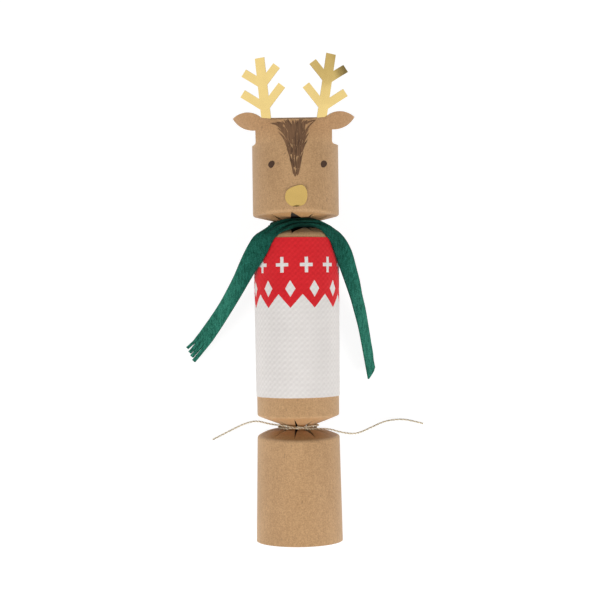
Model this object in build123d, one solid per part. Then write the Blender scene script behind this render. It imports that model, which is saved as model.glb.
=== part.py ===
from build123d import *
import os
from math import atan2, cos, degrees, hypot, pi, radians, sin, sqrt, tan

# A paper party cracker dressed as a reindeer, lying on its back on a table. Millimetres.
# +Y runs along the cracker from its foot to its head, +Z is up, the way the face looks, and +X is on the
# right of someone who looks down at the face. The origin is the lowest point of the foot's rim.
# Round pieces are drawn standing on the foot, with the axis on Z and the face towards -Y, and then laid down.
# Angles round the axis are in degrees from the middle of the face, positive towards +X.

# Card tube
card = 0.4
foot_rim_radius = 25.6
foot_neck_radius = 24.4
foot_length = 62.3
body_lower_radius = 24.3
body_upper_radius = 25.0
body_length = 108.1
head_radius = 25.6
head_back_length = 41.8

# Pinched necks, each a ring of strips between die-cut slits
waist_radius = 11.0
waist_land = 1.45
tear_gap = 0.3
foot_gather = 5.5
body_lower_gather = 6.6
body_upper_gather = 5.2
head_gather = 4.9
slit_count = 11
slit_phase = -6.0
slit_width = 2.6
slit_margin = 2.2
slit_overcut = 1.2

# Lapped seam down the back, stuck with double-sided tape
seam_angle = 180.0
seam_lap = 12.0
seam_step = 0.8
seam_margin = 1.5
tape_thickness = 0.12
glue_gap = 0.03

# Face panel and ears, which rise above the back rim
panel_offset = -0.7
panel_half_width = 22.4
panel_height = 14.4
notch_radius = 1.5
sheet_margin = 3.0
sheet_top_radius = 50.0
sheet_lower_spread = 80.0
sheet_upper_spread = 64.0
ear_reach = 13.6
ear_shoulder = 3.8
ear_root = 7.6
ear_tip_height = 16.0
ear_belly_height = 9.7
ear_crest_height = 18.3
ear_belly_share = 0.53
ear_crest_share = 0.5

# Gold card antlers, tucked behind the panel
antler_spacing = 32.4
antler_offset = -0.4
antler_height = 35.0
antler_stagger = 2.3
antler_lean = 7.3
antler_sway = 1.7
antler_tab = 8.0
stem_width = 5.6
tine_width = 4.8
outer_tine_angle = 55.0
inner_tine_angle = 38.5
lower_fork_height = 5.8
lower_tine_length = 16.1
upper_fork_depth = 15.7
upper_tine_length = 13.5

# Foil nose
nose_foil_thickness = 0.15
nose_half_width = 6.35
nose_half_height = 6.25
nose_rise = 10.5
nose_shift = 0.35

# Printed band round the body
band_thickness = 0.3
band_gap = 0.1
band_lower_margin = 11.6
band_upper_margin = 3.3
band_lap_angle = 210.0
band_lap = 9.0

# Felt scarf
felt = 1.0
scarf_width = 12.0
scarf_clearance = 0.45
collar_radius = 20.6
collar_crown = 0.8
fringe_length = 12.0
fringe_slant = 6.5
fringe_count = 4
fringe_slit = 0.7

# Twine
twine_diameter = 1.2
twine_gap = 0.15
twine_pitch = 1.62
twine_front_angle = 40.0
twine_end_run = 12.0
limp_bend = 3.0

# Snap: two card strips that overlap inside a paper sleeve
snap_width = 7.0
snap_card = 0.4
snap_spacing = 0.2
snap_overlap = 26.0
snap_glue_length = 32.0
snap_from_waist = 2.6
snap_rise = 2.8
charge_length = 10.0
charge_thickness = 0.12
sleeve_length = 34.0
sleeve_paper = 0.25
sleeve_gap = 0.15

# Contents of the body
lane_gap = 0.5
crown_length = 62.0
crown_core_radius = 2.4
crown_fold = 1.1
crown_spacing = 0.5
crown_half_turns = 6
crown_lane_angle = 232.0
rubber_band_thickness = 0.8
rubber_band_width = 5.0
rubber_band_gap = 0.1
gift_lane_angle = 124.0
top_radius = 11.0
top_rim = 6.0
top_point = 8.0
peg_radius = 1.9
peg_length = 18.0
peg_depth = 5.0
peg_gap = 0.02
motto_length = 46.0
motto_radius = 3.2
motto_paper = 0.5

# Heights along the cracker
foot_shoulder = foot_length
lower_waist = foot_shoulder + foot_gather
body_bottom = lower_waist + body_lower_gather
body_top = body_bottom + body_length
upper_waist = body_top + body_upper_gather
head_bottom = upper_waist + head_gather
back_rim = head_bottom + head_back_length
panel_top = back_rim + panel_height
body_middle = (body_bottom + body_top) / 2
axis_height = max(foot_rim_radius, head_radius)
sheet_rise = max(panel_height, ear_crest_height) + sheet_margin

# Outer lines of the three card barrels, as radius and height, from the foot up
foot_line = [(foot_rim_radius, 0), (foot_neck_radius, foot_shoulder)]
body_line = [(body_lower_radius, body_bottom), (body_upper_radius, body_top)]
head_line = [(head_radius, head_bottom), (head_radius, back_rim)]


def lay_down(shape):
    """A piece drawn standing on the foot, laid on its back on the table."""
    return Pos(0, 0, axis_height) * Rot(-90, 0, 0) * shape


def save(name, shape):
    export_step(shape, os.path.join("parts", name + ".step"))


def spin(angle):
    """The turn about the axis that takes +X to an angle from the face."""
    return Rot(0, 0, angle - 90)


def at_height(line, height):
    (r0, z0), (r1, z1) = line
    share = (height - z0) / (z1 - z0)
    return (r0 + share * (r1 - r0), height)


def inset(line, depth):
    """A line of radii and heights moved towards the axis, with its ends kept at their heights."""
    moved = []
    for (r0, z0), (r1, z1) in zip(line, line[1:]):
        run = hypot(r1 - r0, z1 - z0)
        dr, dz = -(z1 - z0) / run * depth, (r1 - r0) / run * depth
        moved.append(((r0 + dr, z0 + dz), (r1 + dr, z1 + dz)))
    points = [at_height(moved[0], line[0][1])]
    for (a, b), (c, d) in zip(moved, moved[1:]):
        ab = (b[0] - a[0], b[1] - a[1])
        cd = (d[0] - c[0], d[1] - c[1])
        share = ((c[0] - a[0]) * cd[1] - (c[1] - a[1]) * cd[0]) / (ab[0] * cd[1] - ab[1] * cd[0])
        points.append((a[0] + share * ab[0], a[1] + share * ab[1]))
    points.append(at_height(moved[-1], line[-1][1]))
    return points


def turned(outline, angle=0.0, sweep=360.0):
    """An outline of radii and heights turned about the axis, or part of the way round from an angle."""
    face = make_face(Polyline(*[(r, 0, z) for r, z in outline], close=True))
    return spin(angle) * revolve(face, Axis.Z, sweep)


def layer(line, outer, inner, angle=0.0, sweep=360.0):
    """The wall between two depths below a line, turned about the axis."""
    return turned(inset(line, outer) + inset(line, inner)[::-1], angle, sweep)


def slits(shoulder_radius, low, high):
    """Wedge-shaped cuts that run from the waist nearly to the shoulder."""
    base = waist_radius - slit_overcut
    wedge = Polyline(
        (base, -slit_width / 2), (base, slit_width / 2), (shoulder_radius - slit_margin, 0), close=True
    )
    cutter = Pos(0, 0, low) * extrude(make_face(wedge), high - low)
    return [spin(slit_phase + 360 / slit_count * i) * cutter for i in range(slit_count)]


def seam(barrel_line, low_margin, high_margin):
    """The lap under the seam, and the tape that holds it, for one barrel, short of its shoulders."""
    line = [
        at_height(barrel_line, barrel_line[0][1] + low_margin),
        at_height(barrel_line, barrel_line[1][1] - high_margin),
    ]
    radius = min(r for r, z in line) - card
    sweep = degrees(seam_lap / radius)
    start = seam_angle - sweep / 2
    step = degrees(seam_step / radius)
    lap_depth = card + tape_thickness + 2 * glue_gap
    lap = layer(line, lap_depth, lap_depth + card, start, sweep)
    lap += layer(line, card / 2, lap_depth + card, start, step)
    tape = layer(line, card + glue_gap, lap_depth - glue_gap, start + 2 * step, sweep - 2 * step)
    return lap, tape


def make_foot():
    """The foot barrel, open at its rim, and its seam tape."""
    waist_end = lower_waist - tear_gap / 2
    line = foot_line + [(waist_radius, lower_waist - waist_land), (waist_radius, waist_end)]
    lap, tape = seam(foot_line, 0, seam_margin)
    barrel = layer(line, 0, card) + lap
    barrel -= slits(foot_neck_radius, foot_shoulder, lower_waist)
    return barrel, tape


def make_body():
    """The body barrel, pinched at both ends, and its seam tape."""
    line = [
        (waist_radius, lower_waist + tear_gap / 2),
        (waist_radius, lower_waist + waist_land),
        *body_line,
        (waist_radius, upper_waist - waist_land),
        (waist_radius, upper_waist - tear_gap / 2),
    ]
    lap, tape = seam(body_line, seam_margin, seam_margin)
    barrel = layer(line, 0, card) + lap
    barrel -= slits(body_lower_radius, lower_waist, body_bottom)
    barrel -= slits(body_upper_radius, body_top, upper_waist)
    return barrel, tape


def sheet_section(radius, apex, spread, height):
    """A thin arc of card across the face, with its crest at the apex and its ends at the spread angle."""
    centre = radius - apex
    across, along = sin(radians(spread)), cos(radians(spread))
    inner = radius - card
    outer_arc = ThreePointArc(
        (-radius * across, centre - radius * along, height),
        (0, -apex, height),
        (radius * across, centre - radius * along, height),
    )
    inner_arc = ThreePointArc(
        (inner * across, centre - inner * along, height),
        (0, card - apex, height),
        (-inner * across, centre - inner * along, height),
    )
    sides = [Line(outer_arc @ 1, inner_arc @ 0), Line(inner_arc @ 1, outer_arc @ 0)]
    return make_face([*outer_arc.edges(), *sides[0].edges(), *inner_arc.edges(), *sides[1].edges()])


def face_sheet(depth, extra_height):
    """Card that rises from the back rim at the tube's curve and relaxes, at a depth behind the face."""
    apex = head_radius - depth
    lower = sheet_section(apex, apex, sheet_lower_spread, back_rim)
    upper = sheet_section(sheet_top_radius - depth, apex, sheet_upper_spread, back_rim + sheet_rise)
    sheet = loft([lower, upper], ruled=True)
    if extra_height:
        sheet += extrude(upper, extra_height, dir=(0, 0, 1))
    return sheet


def through_face(outline):
    """An outline drawn on the face, as x and height, pushed right through the cracker."""
    return extrude(Plane.XZ * outline, 2 * sheet_top_radius, both=True)


def ear_edges(side):
    """The cut edge of one half of the panel, from the notch up round the ear to the panel's top corner."""
    edge = panel_half_width
    tip = (side * (edge + ear_reach), ear_tip_height)
    root = (side * edge, ear_root)
    corner = (side * (edge - ear_shoulder), panel_height)
    notch_turn = notch_radius * (1 - sqrt(0.5))
    return [
        ThreePointArc(
            (side * (edge + notch_radius), 0),
            (side * (edge + notch_turn), notch_turn),
            (side * edge, notch_radius),
        ),
        Line((side * edge, notch_radius), root),
        ThreePointArc(root, (side * (edge + ear_belly_share * ear_reach), ear_belly_height), tip),
        ThreePointArc(tip, (side * (edge + ear_crest_share * ear_reach), ear_crest_height), corner),
    ]


def make_head():
    """The head barrel with its face panel and ears, and its seam tape."""
    line = [
        (waist_radius, upper_waist + tear_gap / 2),
        (waist_radius, upper_waist + waist_land),
        *head_line,
    ]
    lap, tape = seam(head_line, seam_margin, 0)
    right, left = ear_edges(1), ear_edges(-1)
    top = Line(right[-1] @ 1, left[-1] @ 1)
    bottom = Line(left[0] @ 0, right[0] @ 0)
    outline = make_face([e for curve in [*right, top, *left, bottom] for e in curve.edges()])
    panel = face_sheet(0, 0) & through_face(Pos(panel_offset, back_rim) * outline)
    barrel = layer(line, 0, card) + lap + panel
    barrel -= slits(head_radius, upper_waist, head_bottom)
    return barrel, tape


def strip(width, length, angle):
    """A strip that starts at the origin and leans from upright by an angle, towards +X."""
    return Rot(0, 0, -angle) * Rectangle(width, length, align=(Align.CENTER, Align.MIN))


def make_antler(side):
    """One antler: a stem with two forks of two tines, and a tab that is glued behind the panel."""
    height = antler_height + max(side, 0) * antler_stagger
    lean = side * antler_lean + antler_sway
    outline = strip(stem_width, height / cos(radians(lean)), lean)
    outline += Pos(0, -antler_tab) * strip(stem_width, antler_tab + card, 0)
    forks = [(lower_fork_height, lower_tine_length), (height - upper_fork_depth, upper_tine_length)]
    for fork, length in forks:
        on_stem = Pos(fork * tan(radians(lean)), fork)
        outline += on_stem * strip(tine_width, length, side * outer_tine_angle)
        outline += on_stem * strip(tine_width, length, -side * inner_tine_angle)
    place = Pos(antler_offset + side * antler_spacing / 2, panel_top)
    sheet = face_sheet(card + glue_gap, antler_height + antler_stagger)
    return sheet & through_face(place * outline)


def make_nose():
    """The foil nose, an uneven pebble that follows the head's curve."""
    w, h = nose_half_width, nose_half_height
    outline = Spline(
        (-w, -0.08 * h), (-0.7 * w, 0.6 * h), (0.4 * w, h), (0.88 * w, 0.66 * h),
        (w, -0.06 * h), (0.7 * w, -0.8 * h), (-0.22 * w, -h), (-0.8 * w, -0.68 * h),
        periodic=True,
    )
    place = Pos(nose_shift, head_bottom + nose_rise)
    half_turn = 90.0
    foil = layer(head_line, -glue_gap - nose_foil_thickness, -glue_gap, -half_turn, 2 * half_turn)
    return foil & through_face(place * make_face(outline.edges()))


def make_band():
    """The printed paper band round the body, lapped over itself at the back."""
    low = at_height(body_line, body_bottom + band_lower_margin)
    high = at_height(body_line, body_top - band_upper_margin)
    line = [low, high]
    outer = band_gap + band_thickness
    sweep = degrees(band_lap / body_upper_radius)
    lap = layer(line, -outer - band_thickness, -outer + band_thickness / 2, band_lap_angle, sweep)
    return layer(line, -outer, -band_gap) + lap


def round_axis(angle, radius, along):
    """A point on the table's frame, given round the axis of the lying cracker."""
    a = radians(angle)
    return Vector(radius * sin(a), along, axis_height + radius * cos(a))


def scarf_tail(side, stations):
    """One tail of the scarf, a ruled strip of felt that ends in a cut fringe.

    Each station is a point, the felt's width and thickness there, the share by which it faces up instead
    of away from the axis, and the roll of the felt about its length, which lifts its inner edge.
    """
    points = [s[0] for s in stations]
    sections = []
    for i, (point, width, thickness, upward, roll) in enumerate(stations):
        ahead = (points[min(i + 1, len(points) - 1)] - points[max(i - 1, 0)]).normalized()
        away = Vector(point.X, 0, point.Z - axis_height).normalized()
        facing = away * (1 - upward) + Vector(0, 0, 1) * upward
        normal = (facing - ahead * facing.dot(ahead)).normalized()
        normal = normal.rotate(Axis((0, 0, 0), ahead), -side * roll)
        sections.append((point, ahead, normal, ahead.cross(normal), width, thickness))

    def outline(section, shift, width):
        point, ahead, normal, across, full_width, thickness = section
        middle = point + across * shift
        corners = [(-1, -1), (1, -1), (1, 1), (-1, 1)]
        places = [middle + across * (width / 2 * u) + normal * (thickness / 2 * v) for u, v in corners]
        return Wire.make_polygon(places, close=True)

    tail = Solid.make_loft([outline(s, 0, s[4]) for s in sections], ruled=True)
    last = sections[-1]
    strand = (scarf_width - (fringe_count - 1) * fringe_slit) / fringe_count
    for i in range(fringe_count):
        shift = (i - (fringe_count - 1) / 2) * (strand + fringe_slit)
        point, ahead, normal, across, width, thickness = last
        inward = 0.5 + side * shift / (width - strand)
        reach = fringe_length + fringe_slant * inward
        end = (point + ahead * reach, ahead, normal, across, width, thickness)
        start = (point - ahead * felt, ahead, normal, across, width, thickness)
        tail += Solid.make_loft([outline(start, shift, strand), outline(end, shift, strand)], ruled=True)
    return tail


def make_scarf():
    """The felt scarf: gathered round the upper neck, over the body's shoulders and down to the table."""
    def under(radius, shoulder, shoulder_radius, land):
        share = (radius - waist_radius) / (shoulder_radius - waist_radius)
        return land + share * (shoulder - land)

    root = waist_radius + scarf_clearance
    edges = [
        [(r, 0, under(r, body_top, body_upper_radius, upper_waist - waist_land) + scarf_clearance)
         for r in (root, collar_radius)],
        [(r, 0, under(r, head_bottom, head_radius, upper_waist + waist_land) - scarf_clearance)
         for r in (collar_radius, root)],
    ]
    crest = (collar_radius + collar_crown, 0, (edges[0][1][2] + edges[1][0][2]) / 2)
    sides = [Line(*edges[0]), ThreePointArc(edges[0][1], crest, edges[1][0]), Line(*edges[1])]
    closing = Line(edges[1][1], edges[0][0])
    collar = revolve(make_face([e for c in [*sides, closing] for e in c.edges()]), Axis.Z, 360)

    over = body_upper_radius + band_gap + 2 * band_thickness + scarf_clearance + felt / 2

    def on_neck(angle, radius, along, width, thickness):
        return (round_axis(angle, radius, upper_waist + along), width, thickness, 0, 0)

    def on_barrel(angle, along, width, upward):
        lift = width / 2 * sin(radians(abs(angle) * upward))
        return (round_axis(angle, over + lift, upper_waist + along), width, felt, upward, 0)

    def beside(side, out, along, rise, upward, roll):
        place = Vector(side * (body_upper_radius + out), upper_waist + along, axis_height * rise)
        return (place, scarf_width, felt, upward, roll)

    def on_table(side, out, along, roll, lift=0.0):
        a = radians(roll)
        height = (scarf_width * sin(a) + felt * cos(a)) / 2 + glue_gap + lift
        place = Vector(side * (body_upper_radius + out), upper_waist + along, height)
        return (place, scarf_width, felt, 1, roll)

    left = [
        on_neck(-8, collar_radius, 0.4, 4.0, 2 * felt),
        on_neck(-20, collar_radius + 1.2, 0.1, 5.0, 1.6 * felt),
        on_neck(-30, over - 1.0, -2.2, 7.2, 1.2 * felt),
        on_barrel(-38, -6.0, 9.8, 0.1),
        on_barrel(-48, -10.4, scarf_width, 0.2),
        on_barrel(-62, -17.0, scarf_width, 0.25),
        beside(-1, 4.4, -24.9, 1.16, 0.4, 6),
        beside(-1, 9.8, -35.2, 0.87, 0.7, 26),
        beside(-1, 16.2, -45.5, 0.6, 0.9, 40),
        on_table(-1, 23.2, -55.9, 46, 4.0),
        on_table(-1, 30.6, -65.7, 48, 0.3),
        on_table(-1, 31.4, -66.8, 48, 0.3),
    ]
    right = [
        on_neck(8, collar_radius, 0.5, 4.0, 2 * felt),
        on_neck(24, collar_radius + 1.0, 0.6, 5.0, 1.6 * felt),
        on_neck(38, over - 1.2, -1.6, 7.0, 1.2 * felt),
        on_barrel(46, -5.8, 9.8, 0.15),
        on_barrel(58, -11.2, scarf_width, 0.25),
        beside(1, 4.0, -18.7, 1.15, 0.3, 0),
        beside(1, 6.6, -27.3, 0.88, 0.5, 12),
        beside(1, 9.0, -35.9, 0.68, 0.7, 32),
        beside(1, 12.3, -47.6, 0.5, 0.9, 50),
        on_table(1, 14.7, -59.0, 58, 3.4),
        on_table(1, 16.6, -69.5, 60, 0.3),
        on_table(1, 17.6, -75.8, 60, 0.3),
    ]
    return lay_down(collar) + scarf_tail(-1, left) + scarf_tail(1, right)


def biarc(p0, t0, p1, t1):
    """Two tangent arcs from one point and direction to another."""
    v, t = p1 - p0, t0 + t1
    k = 2 * (1 - t0.dot(t1))
    d = (sqrt(v.dot(t) ** 2 + k * v.dot(v)) - v.dot(t)) / k
    q0, q1 = p0 + t0 * d, p1 - t1 * d
    middle = (q0 + q1) * 0.5
    return [Edge.make_tangent_arc(p0, t0, middle), Edge.make_tangent_arc(middle, q1 - q0, p1)]


def twine_point(angle):
    """A point of the twine's turn round the lower neck, and its direction."""
    radius = waist_radius + twine_gap + twine_diameter / 2
    climb = -twine_pitch / 360
    point = round_axis(angle, radius, lower_waist + climb * (angle - 180))
    a = radians(angle)
    direction = Vector(radius * cos(a), degrees(climb), -radius * sin(a)).normalized()
    return point, direction


def make_twine_tie():
    """The twine's turn round the lower neck, which passes itself across the front."""
    start, end = -twine_front_angle, 360 + twine_front_angle
    steps = 5
    stops = [twine_point(start + (end - start) * i / steps) for i in range(steps + 1)]
    path = Wire([e for (p0, t0), (p1, t1) in zip(stops, stops[1:]) for e in biarc(p0, t0, p1, t1)])
    section = Plane(stops[0][0], z_dir=stops[0][1]) * Circle(twine_diameter / 2)
    samples = [twine_point(start + i)[0] for i in range(int(end - start) + 1)]
    near = min((samples[i] - samples[j]).length for i in range(0, 90) for j in range(i + 330, len(samples)))
    print(f"twine turn: least gap to itself {near - twine_diameter:.2f}")
    return sweep(section, path)


def tube(points):
    """Twine along straight runs joined by arcs as large as the runs allow."""
    runs = [b - a for a, b in zip(points, points[1:])]
    radii = []
    for a, b in zip(runs, runs[1:]):
        turn = radians(a.get_angle(b))
        radii.append(0.45 * min(a.length, b.length) / tan(turn / 2))
    path = FilletPolyline(*points, radius=radii)
    made = sweep(Plane(points[0], z_dir=runs[0]) * Circle(twine_diameter / 2), path)
    expected = pi * (twine_diameter / 2) ** 2 * path.length
    print("twine tail: length", round(path.length, 1), "radii", [round(r, 1) for r in radii],
          "least", round(limp_bend * twine_diameter, 1), "volume share", round(made.volume / expected, 4))
    return made


def make_twine_tails():
    """The two free ends of the twine, which come down from the neck and lie on the table."""
    lie = twine_diameter / 2 + glue_gap
    left_exit, left_way = twine_point(-twine_front_angle)
    right_exit, right_way = twine_point(360 + twine_front_angle)
    left = [
        left_exit,
        left_exit - left_way * twine_end_run,
        Vector(-25.2, 71.0, 19.4),
        Vector(-33.6, 68.2, 12.0),
        Vector(-42.8, 63.2, 5.2),
        Vector(-52.6, 58.0, lie),
    ]
    right = [
        right_exit,
        right_exit + right_way * twine_end_run,
        Vector(25.6, 63.2, 21.6),
        Vector(34.6, 61.4, 14.4),
        Vector(43.2, 64.4, 7.6),
        Vector(52.6, 68.2, 2.4),
        Vector(62.4, 69.2, lie + 0.2),
        Vector(69.8, 68.0, lie),
        Vector(76.2, 66.2, lie),
    ]
    return tube(left), tube(right)


def ribbon(line, thickness, width):
    """A card strip that follows a line of distances in front of the axis and heights."""
    outline = inset(line, -thickness / 2) + inset(line, thickness / 2)[::-1]
    face = make_face(Polyline(*[(0, -q, z) for q, z in outline], close=True))
    return extrude(face, width / 2, dir=(1, 0, 0), both=True)


def wall_seat(radius):
    """How far in front of the axis a flat strip lies when it is glued inside a tube."""
    return sqrt((radius - card) ** 2 - (snap_width / 2) ** 2) - glue_gap - snap_card / 2


def make_snap():
    """The snap: upper strip, lower strip, the charge on the lower one and the sleeve round both."""
    lower_depth = waist_radius - card - snap_from_waist
    upper_depth = lower_depth + snap_card + snap_spacing
    middle = (lower_waist + upper_waist) / 2
    upper = ribbon(
        [
            (upper_depth, middle - snap_overlap / 2),
            (upper_depth, upper_waist + waist_land),
            (wall_seat(head_radius), head_bottom + snap_rise),
            (wall_seat(head_radius), head_bottom + snap_glue_length),
        ],
        snap_card, snap_width,
    )
    glued = [at_height(foot_line, foot_shoulder - run)[0] for run in (snap_glue_length, snap_rise)]
    lower = ribbon(
        [
            (wall_seat(glued[0]), foot_shoulder - snap_glue_length),
            (wall_seat(glued[1]), foot_shoulder - snap_rise),
            (lower_depth, lower_waist - waist_land),
            (lower_depth, middle + snap_overlap / 2),
        ],
        snap_card, snap_width,
    )
    top = lower_depth + snap_card / 2
    charge = Pos(0, -top - charge_thickness / 2, middle) * Box(snap_width, charge_thickness, charge_length)
    stack = upper_depth - lower_depth + snap_card + 2 * sleeve_gap
    inside = Box(snap_width + 2 * sleeve_gap, stack, sleeve_length)
    outside = Box(snap_width + 2 * (sleeve_gap + sleeve_paper), stack + 2 * sleeve_paper, sleeve_length)
    sleeve = Pos(0, -(lower_depth + upper_depth) / 2, middle) * (outside - inside)
    return upper, lower, charge, sleeve


def lane(angle, radius, lap_depth=0.0):
    """Where a round piece lies along the body's wall, or along the seam's lap."""
    (r0, z0), (r1, z1) = inset(body_line, card + lap_depth + lane_gap + radius)
    tilt = degrees(atan2(r1 - r0, z1 - z0))
    return spin(angle) * Pos((r0 + r1) / 2, 0, body_middle) * Rot(0, tilt, 0)


def make_crown():
    """The tissue crown, folded into a strip and rolled up, and the rubber band that holds it."""
    step = (crown_fold + crown_spacing) / 2
    inner, outer = [], []
    for i in range(crown_half_turns):
        centre = step * (i % 2)
        radius = crown_core_radius + step * i
        first = 0.0 if i % 2 == 0 else 180.0
        inner.append(CenterArc((centre, 0), radius, first, 180))
        outer.append(CenterArc((centre, 0), radius + crown_fold, first, 180))
    ends = [Line(inner[0] @ 0, outer[0] @ 0), Line(inner[-1] @ 1, outer[-1] @ 1)]
    face = make_face([e for curve in inner + outer + ends for e in curve.edges()])
    roll = extrude(face, crown_length / 2, both=True)
    bore = crown_core_radius + crown_fold + step * (crown_half_turns - 1) + rubber_band_gap
    ring = Circle(bore + rubber_band_thickness) - Circle(bore)
    rubber_band = extrude(ring, rubber_band_width / 2, both=True)
    place = lane(crown_lane_angle, bore + rubber_band_thickness)
    last_centre = step * ((crown_half_turns - 1) % 2)
    return place * Pos(-last_centre, 0) * roll, place * rubber_band


def make_gift():
    """The gift, a turned wooden spinning top with a peg pressed into it."""
    seat = peg_radius + peg_gap
    lower = -(top_rim + top_point + peg_length - peg_depth) / 2
    tip, rim, deck = lower, lower + top_point, lower + top_point + top_rim
    floor = deck - peg_depth
    disc = turned([
        (0, tip), (peg_radius, tip + peg_radius / 2), (top_radius, rim), (top_radius, deck),
        (seat, deck), (seat, floor), (0, floor),
    ])
    peg = turned([
        (0, floor + peg_gap), (peg_radius, floor + peg_gap),
        (peg_radius, floor + peg_length), (0, floor + peg_length),
    ])
    place = lane(gift_lane_angle, top_radius)
    return place * disc, place * peg


def make_motto():
    """The motto, a slip of paper rolled into a tube."""
    ring = Circle(motto_radius) - Circle(motto_radius - motto_paper)
    lap_depth = tape_thickness + 2 * glue_gap + card
    return lane(seam_angle, motto_radius, lap_depth) * extrude(ring, motto_length / 2, both=True)


def main():
    os.makedirs("parts", exist_ok=True)
    foot, foot_tape = make_foot()
    body, body_tape = make_body()
    head, head_tape = make_head()
    snap_upper, snap_lower, charge, sleeve = make_snap()
    crown, rubber_band = make_crown()
    top_disc, top_peg = make_gift()
    standing = {
        "foot_barrel": foot,
        "foot_seam_tape": foot_tape,
        "body_barrel": body,
        "body_seam_tape": body_tape,
        "head_barrel": head,
        "head_seam_tape": head_tape,
        "left_antler": make_antler(-1),
        "right_antler": make_antler(1),
        "nose_foil": make_nose(),
        "sweater_band": make_band(),
        "snap_upper_strip": snap_upper,
        "snap_lower_strip": snap_lower,
        "snap_charge": charge,
        "snap_sleeve": sleeve,
        "paper_crown": crown,
        "crown_rubber_band": rubber_band,
        "gift_top_disc": top_disc,
        "gift_top_peg": top_peg,
        "motto_slip": make_motto(),
    }
    for name, shape in standing.items():
        save(name, lay_down(shape))
    left_tail, right_tail = make_twine_tails()
    lying = {
        "scarf": make_scarf(),
        "twine_tie": make_twine_tie(),
        "twine_left_tail": left_tail,
        "twine_right_tail": right_tail,
    }
    for name, shape in lying.items():
        save(name, shape)


main()
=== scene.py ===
import math
import random

import bmesh
import bpy
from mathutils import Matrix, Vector
from mathutils.geometry import delaunay_2d_cdt


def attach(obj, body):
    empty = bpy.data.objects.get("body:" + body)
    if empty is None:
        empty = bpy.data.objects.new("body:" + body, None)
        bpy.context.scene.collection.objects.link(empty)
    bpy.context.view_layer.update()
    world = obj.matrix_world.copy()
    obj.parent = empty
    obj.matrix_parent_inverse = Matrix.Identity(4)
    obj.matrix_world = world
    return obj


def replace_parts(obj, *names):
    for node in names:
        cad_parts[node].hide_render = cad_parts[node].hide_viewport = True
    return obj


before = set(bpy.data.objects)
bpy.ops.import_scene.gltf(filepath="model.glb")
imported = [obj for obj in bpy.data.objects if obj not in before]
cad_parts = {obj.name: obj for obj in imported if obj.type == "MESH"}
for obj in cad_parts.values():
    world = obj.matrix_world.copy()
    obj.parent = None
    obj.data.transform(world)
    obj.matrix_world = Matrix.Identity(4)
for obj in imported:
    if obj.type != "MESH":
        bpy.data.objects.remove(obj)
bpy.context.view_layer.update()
scene = bpy.context.scene

MM = 0.001

# Camera: straight above, a little turned

camera = bpy.data.objects.new("camera", bpy.data.cameras.new("camera"))
camera.location = (0.0018, 0.1428, 0.8812)
camera.rotation_euler = (0, 0, math.radians(-0.7))
camera.data.lens = 86.22
camera.data.sensor_width = 36
scene.collection.objects.link(camera)
scene.camera = camera

# Twine: the routes of its two free ends, in metres

axis_height = 25.6
lower_waist = 67.8
twine_front_angle = 40
twine_turn_radius = 11.75
twine_pitch = 1.62
twine_end_run = 12


def twine_point(angle):
    """A point of the twine's turn round the lower neck, and its direction, in millimetres."""
    a = math.radians(angle)
    r = twine_turn_radius
    along = lower_waist - twine_pitch * (angle - 180) / 360
    point = Vector((r * math.sin(a), along, axis_height + r * math.cos(a)))
    way = Vector((r * math.cos(a), -twine_pitch / math.tau, -r * math.sin(a)))
    return point, way.normalized()


left_exit, left_way = twine_point(-twine_front_angle)
right_exit, right_way = twine_point(360 + twine_front_angle)
left_route = [
    left_exit * MM,
    (left_exit - left_way * twine_end_run) * MM,
    Vector((-0.0252, 0.0710, 0.0194)),
    Vector((-0.0336, 0.0682, 0.0120)),
    Vector((-0.0428, 0.0632, 0.0052)),
    Vector((-0.0526, 0.0580, 0.00063)),
]
right_route = [
    right_exit * MM,
    (right_exit + right_way * twine_end_run) * MM,
    Vector((0.0256, 0.0632, 0.0216)),
    Vector((0.0346, 0.0614, 0.0144)),
    Vector((0.0432, 0.0644, 0.0076)),
    Vector((0.0526, 0.0682, 0.0024)),
    Vector((0.0624, 0.0692, 0.00083)),
    Vector((0.0698, 0.0680, 0.00063)),
    Vector((0.0762, 0.0662, 0.00063)),
]


def route_line(name, route):
    """The points of the smooth line that a route's points pull into shape, in metres."""
    curve = bpy.data.curves.new(name, "CURVE")
    curve.dimensions = "3D"
    spline = curve.splines.new("NURBS")
    spline.points.add(len(route) - 1)
    for point, place in zip(spline.points, route):
        point.co = (*place, 1)
    spline.order_u = 3
    spline.use_endpoint_u = True
    spline.resolution_u = 24
    carrier = bpy.data.objects.new(name, curve)
    mesh = bpy.data.meshes.new_from_object(carrier)
    points = [v.co.copy() for v in mesh.vertices]
    bpy.data.objects.remove(carrier)
    return points


left_line = route_line("left_route", left_route)
right_line = route_line("right_route", right_route)

# Sizes of the pieces, in millimetres and degrees

card = 0.4
slit_count = 11
slit_phase = -6
slit_width = 3.2
body_low_slit_width = 1.4
foot_slit_width = 2.0
slit_margin = 1.5
upper_slit_margin = 0.4
slit_base = 9.8
waist_radius = 11
tear_half = 0.15
waist_half = 1.45
upper_waist = 187.7
foot_rim_radius = 25.6
foot_neck_radius = 24.4
foot_shoulder = 62.3
body_lower_radius = 24.3
body_upper_radius = 25.0
body_bottom = 74.4
body_top = 182.5
head_radius = 25.6
head_bottom = 192.6
back_rim = 234.4
seam_angle = 180
seam_width = 12
seam_step = 0.8
seam_tape = 0.12
seam_clearance = 0.06

panel_offset = -0.7
panel_half = 22.4
panel_height = 14.4
panel_notch = 1.5
sheet_top_radius = 50
sheet_low_spread = 80
sheet_top_spread = 64
sheet_rise = 21.3
ear_reach = 13.6
ear_shoulder = 3.8
ear_root = 7.6
ear_tip = 16.0
ear_belly = (0.53, 9.7)
ear_crest = (0.5, 18.3)

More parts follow.
